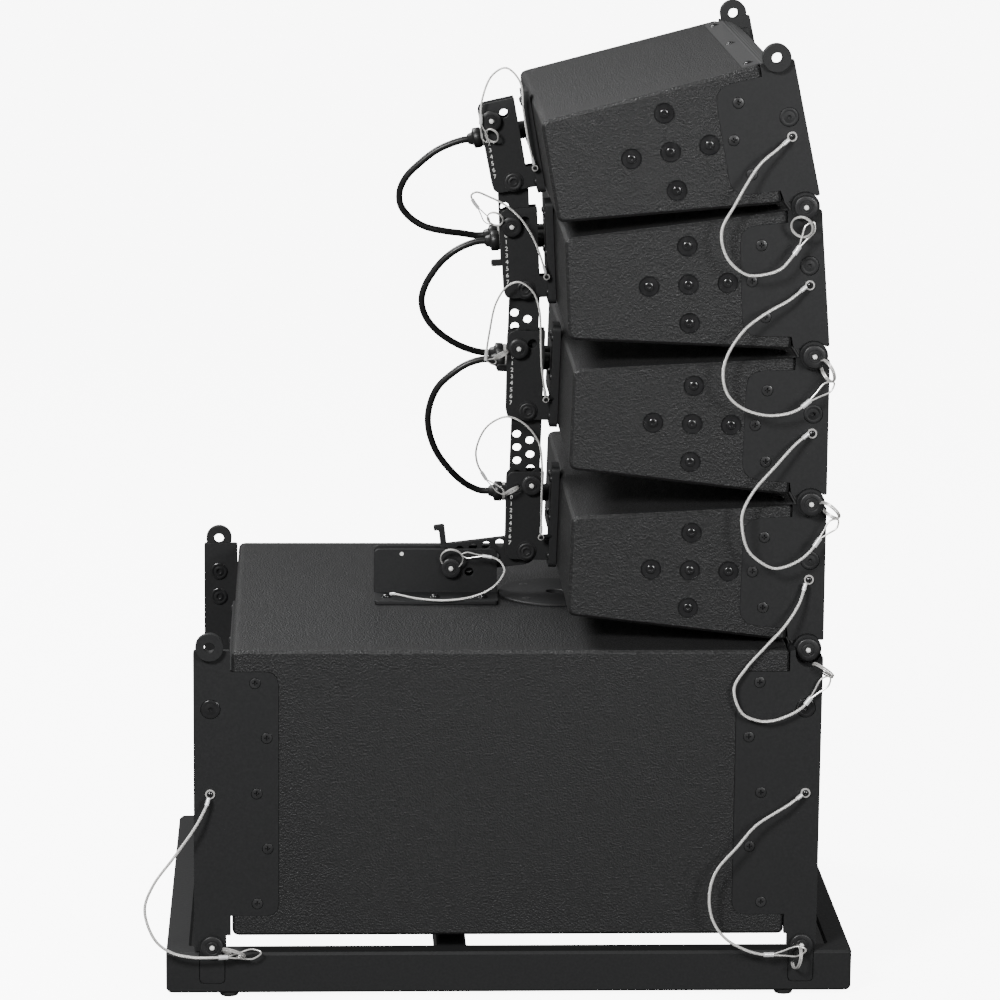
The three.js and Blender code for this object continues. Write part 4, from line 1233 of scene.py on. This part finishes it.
def build_tilt_bracket():
    """The folded bracket that the lowest link bar pins into, screwed to the subwoofer's top."""
    rear, front, half, low, top = TILT["rear"], TILT["front"], TILT["half"], TILT["low"], TILT["top"]
    bm = bmesh.new()
    add_slab(bm, plate_loop(rear, front, -half, half, 5), [], low, low + 5, 0.8, WORLD)
    cheek = corner_loop([(rear, low + 1), (front, low + 1), (front, top, 7), (rear, top, 7)])
    holes = [circle_loop(x, z, PIN_HOLE) for x, z in (TILT_PIN, (-43, 463))]
    for depth in (CHEEK_IN, -CHEEK_OUT):
        add_slab(bm, cheek, holes, depth, depth + CHEEK_OUT - CHEEK_IN, 0.6, OUT[NEAR])
    bracket = make_piece("tilt_bracket_plate", bm, "rigging_steel", "base", weighted=True)
    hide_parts("tilt_bracket")
    screws = bmesh.new()
    for x in (-147, -87, -27):
        for y in (-40, 40):
            place = shift(x, y, low + 5)
            add_washer(screws, place, 3, 7.2, 0, 1)
            add_button_head(screws, place @ shift(0, 0, 1), 5.4, 3.4, 2)
    make_piece("tilt_bracket_screws", screws, "gloss_black", "base")
    mark = bmesh.new()
    spot = on_side(WORLD, *TILT_MARK, CHEEK_OUT, NEAR)
    add_turned(mark, [(0, 0), (2.4, 0), (2.4, 0.12), (0, 0.12)], spot, 24)
    make_piece("tilt_bracket_mark", mark, "white_print", "base")


def build_pole_plate():
    """The round pole socket plate on the subwoofer's top, with four countersunk screws."""
    low = TOP_Z + 0.3
    bm = bmesh.new()
    place = shift(POLE_X, 0, low)
    add_turned(bm, [
        (11, 0.2), (11, 2.2), (11.8, 3), (71, 3), (71.8, 2.3), (72, 1.4), (72, 0.3), (16, 0.2), (16, -60),
        (11, -60),
    ], place, 96, hoop=True)
    plate = make_piece("pole_plate_disc", bm, "rigging_steel", "base")
    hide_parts("pole_plate")
    screws = bmesh.new()
    for x in (-38, 38):
        for y in (-38, 38):
            add_crosshead(screws, place @ shift(x, y, 3.1), 5.6, 1.8)
    make_piece("pole_plate_screws", screws, "screw_black", "base")


def build_amp_panel():
    """The rear panel: its plate, cooling ribs, four sockets, a level knob and screws."""
    finish_node("sub_amp_panel", "rigging_steel", 1.2)
    bm = bmesh.new()
    for i in range(15):
        place = shift(PANEL_FACE, i * 13 - 32, 0) @ OUT_REAR
        add_slab(bm, plate_loop(-3.5, 3.5, 160, 300, 2), [], 0, 9, 0.7, place)
    make_piece("sub_panel_fins", bm, "rigging_steel", "base", weighted=True)
    bm = bmesh.new()
    for z in (190, 240, 290, 340):
        place = shift(PANEL_FACE, -140, z) @ OUT_REAR
        add_slab(bm, plate_loop(-15, 15, -17, 17, 4), [circle_loop(0, 0, 11.5)], 0, 2.4, 0.6, place)
        add_turned(bm, [(9, 0.4), (11.4, 0.4), (11.4, 3.6), (10.6, 4.2), (9, 3.6)], place, hoop=True)
    knob = shift(PANEL_FACE, -90, 340) @ OUT_REAR
    add_turned(bm, [(0, 0), (9, 0), (8.4, 9), (7, 10.4), (0, 10.4)], knob)
    for y in (-172, 0, 172):
        for z in (148, 372):
            add_button_head(bm, shift(PANEL_FACE, y, z) @ OUT_REAR, 4.4, 2.4, 1.6)
    make_piece("sub_panel_fittings", bm, "pin_black", "base")


def build_base():
    finish_node("base_frame", "rigging_steel", 1.0)
    pads = bmesh.new()
    for x in BASE_PIN_X.values():
        for side in (NEAR, FAR):
            pad = corner_loop([(-15, 18.5, 6), (15, 18.5, 6), (15, 62, 2), (-15, 62, 2)])
            add_slab(pads, pad, [], SUB_HALF + 0.2, SUB_HALF + 2.6, 0.8, on_side(WORLD, x, 0, 0, side))
    make_piece("base_pocket_pads", pads, "rigging_steel", "base", weighted=True)
    for number in MODULES:
        finish_node(f"base_foot_{number}", "foot_rubber", 0.9)


def build_sockets(number):
    """The module's rear input plate, behind the plugs."""
    base, body = FRAMES[number], f"module_{number}"
    bm = bmesh.new()
    place = base @ shift(CABINET["rear"] - 0.1, 60, 104) @ OUT_REAR
    add_slab(bm, plate_loop(-48, 42, -30, 30, 4), [], -0.4, 1.2, 0.4, place)
    for y in (PLUG["out_y"], PLUG["in_y"]):
        spot = base @ shift(CABINET["rear"] - 1.2, y, PLUG["z"]) @ OUT_REAR
        add_washer(bm, spot, 9.4, 14.5, 0, 3.2)
    for x, z in ((-43, -25), (37, -25), (-43, 25), (37, 25)):
        add_button_head(bm, place @ shift(x, z, 1.2), 2.6, 1.4, 0.9)
    make_piece(f"{body}_input_plate", bm, "pin_black", body)


# ---- stage and light ----
def build_stage():
    """A pale floor that curves up into a backdrop."""
    bm = bmesh.new()
    front, side, height, bend, reach = -9000, 14000, 9000, 2500, 4500
    profile = [(front, 0), (reach, 0)]
    profile += [
        (reach + bend * math.sin(a), bend - bend * math.cos(a))
        for a in (math.radians(5 * i) for i in range(1, 19))
    ]
    profile.append((reach + bend, height))
    rows = [[bm.verts.new((x, y, z)) for x in (-side, side)] for y, z in profile]
    for low, high in zip(rows, rows[1:]):
        bm.faces.new((*low, *high[::-1]))
    bmesh.ops.scale(bm, vec=(MM, MM, MM), verts=bm.verts[:])
    mesh = bpy.data.meshes.new("backdrop")
    bm.to_mesh(mesh)
    bm.free()
    mesh.polygons.foreach_set("use_smooth", [True] * len(mesh.polygons))
    look = Look("backdrop_paper", (0.86, 0.86, 0.86), 0.9, specular=0.0)
    look.bump(look.noise(40, 2), 0.05)
    look.set("Emission Color", (1, 1, 1, 1))
    look.set("Emission Strength", 8)
    mesh.materials.append(look.material)
    backdrop = put("backdrop", mesh)
    backdrop.visible_diffuse = False
    backdrop.visible_glossy = False


def softbox(name, place, aim, size, power):
    data = bpy.data.lights.new(name, "AREA")
    data.shape = "RECTANGLE"
    data.size, data.size_y = size
    data.energy = power
    lamp = put(name, data)
    lamp.location = place
    lamp.rotation_mode = "QUATERNION"
    lamp.rotation_quaternion = (Vector(aim) - Vector(place)).to_track_quat("-Z", "Y")


def build_light():
    world = bpy.data.worlds.new("studio")
    world.use_nodes = True
    world.node_tree.nodes["Background"].inputs[0].default_value = (1, 1, 1, 1)
    world.node_tree.nodes["Background"].inputs[1].default_value = 0.2
    bpy.context.scene.world = world
    softbox("overhead", (-1.7, 1.3, 3.2), (-0.1, 0, 0.6), (1.4, 1.2), 145)
    softbox("side", (-1.9, -3.4, 2.9), (0, 0, 0.7), (0.9, 0.9), 250)
    softbox("front", (2.2, -3.4, 1.9), (0, 0, 0.6), (1.0, 1.4), 108)


for cable_number in CABLE_ROUTES:
    speaker_cable(cable_number)
build_lanyards()
build_pins()
for module_number in MODULES:
    build_module_shells(module_number)
    build_module_fasteners(module_number)
    build_grille(module_number)
    build_rear_bracket(module_number)
    build_link_bar(module_number)
    build_sockets(module_number)
build_sub()
build_sub_grille()
build_tilt_bracket()
build_pole_plate()
build_amp_panel()
build_base()
for node, shown in NODES.items():
    if not shown.hide_render:
        finish_node(node, shown.data.materials[0].name)
build_stage()
build_light()
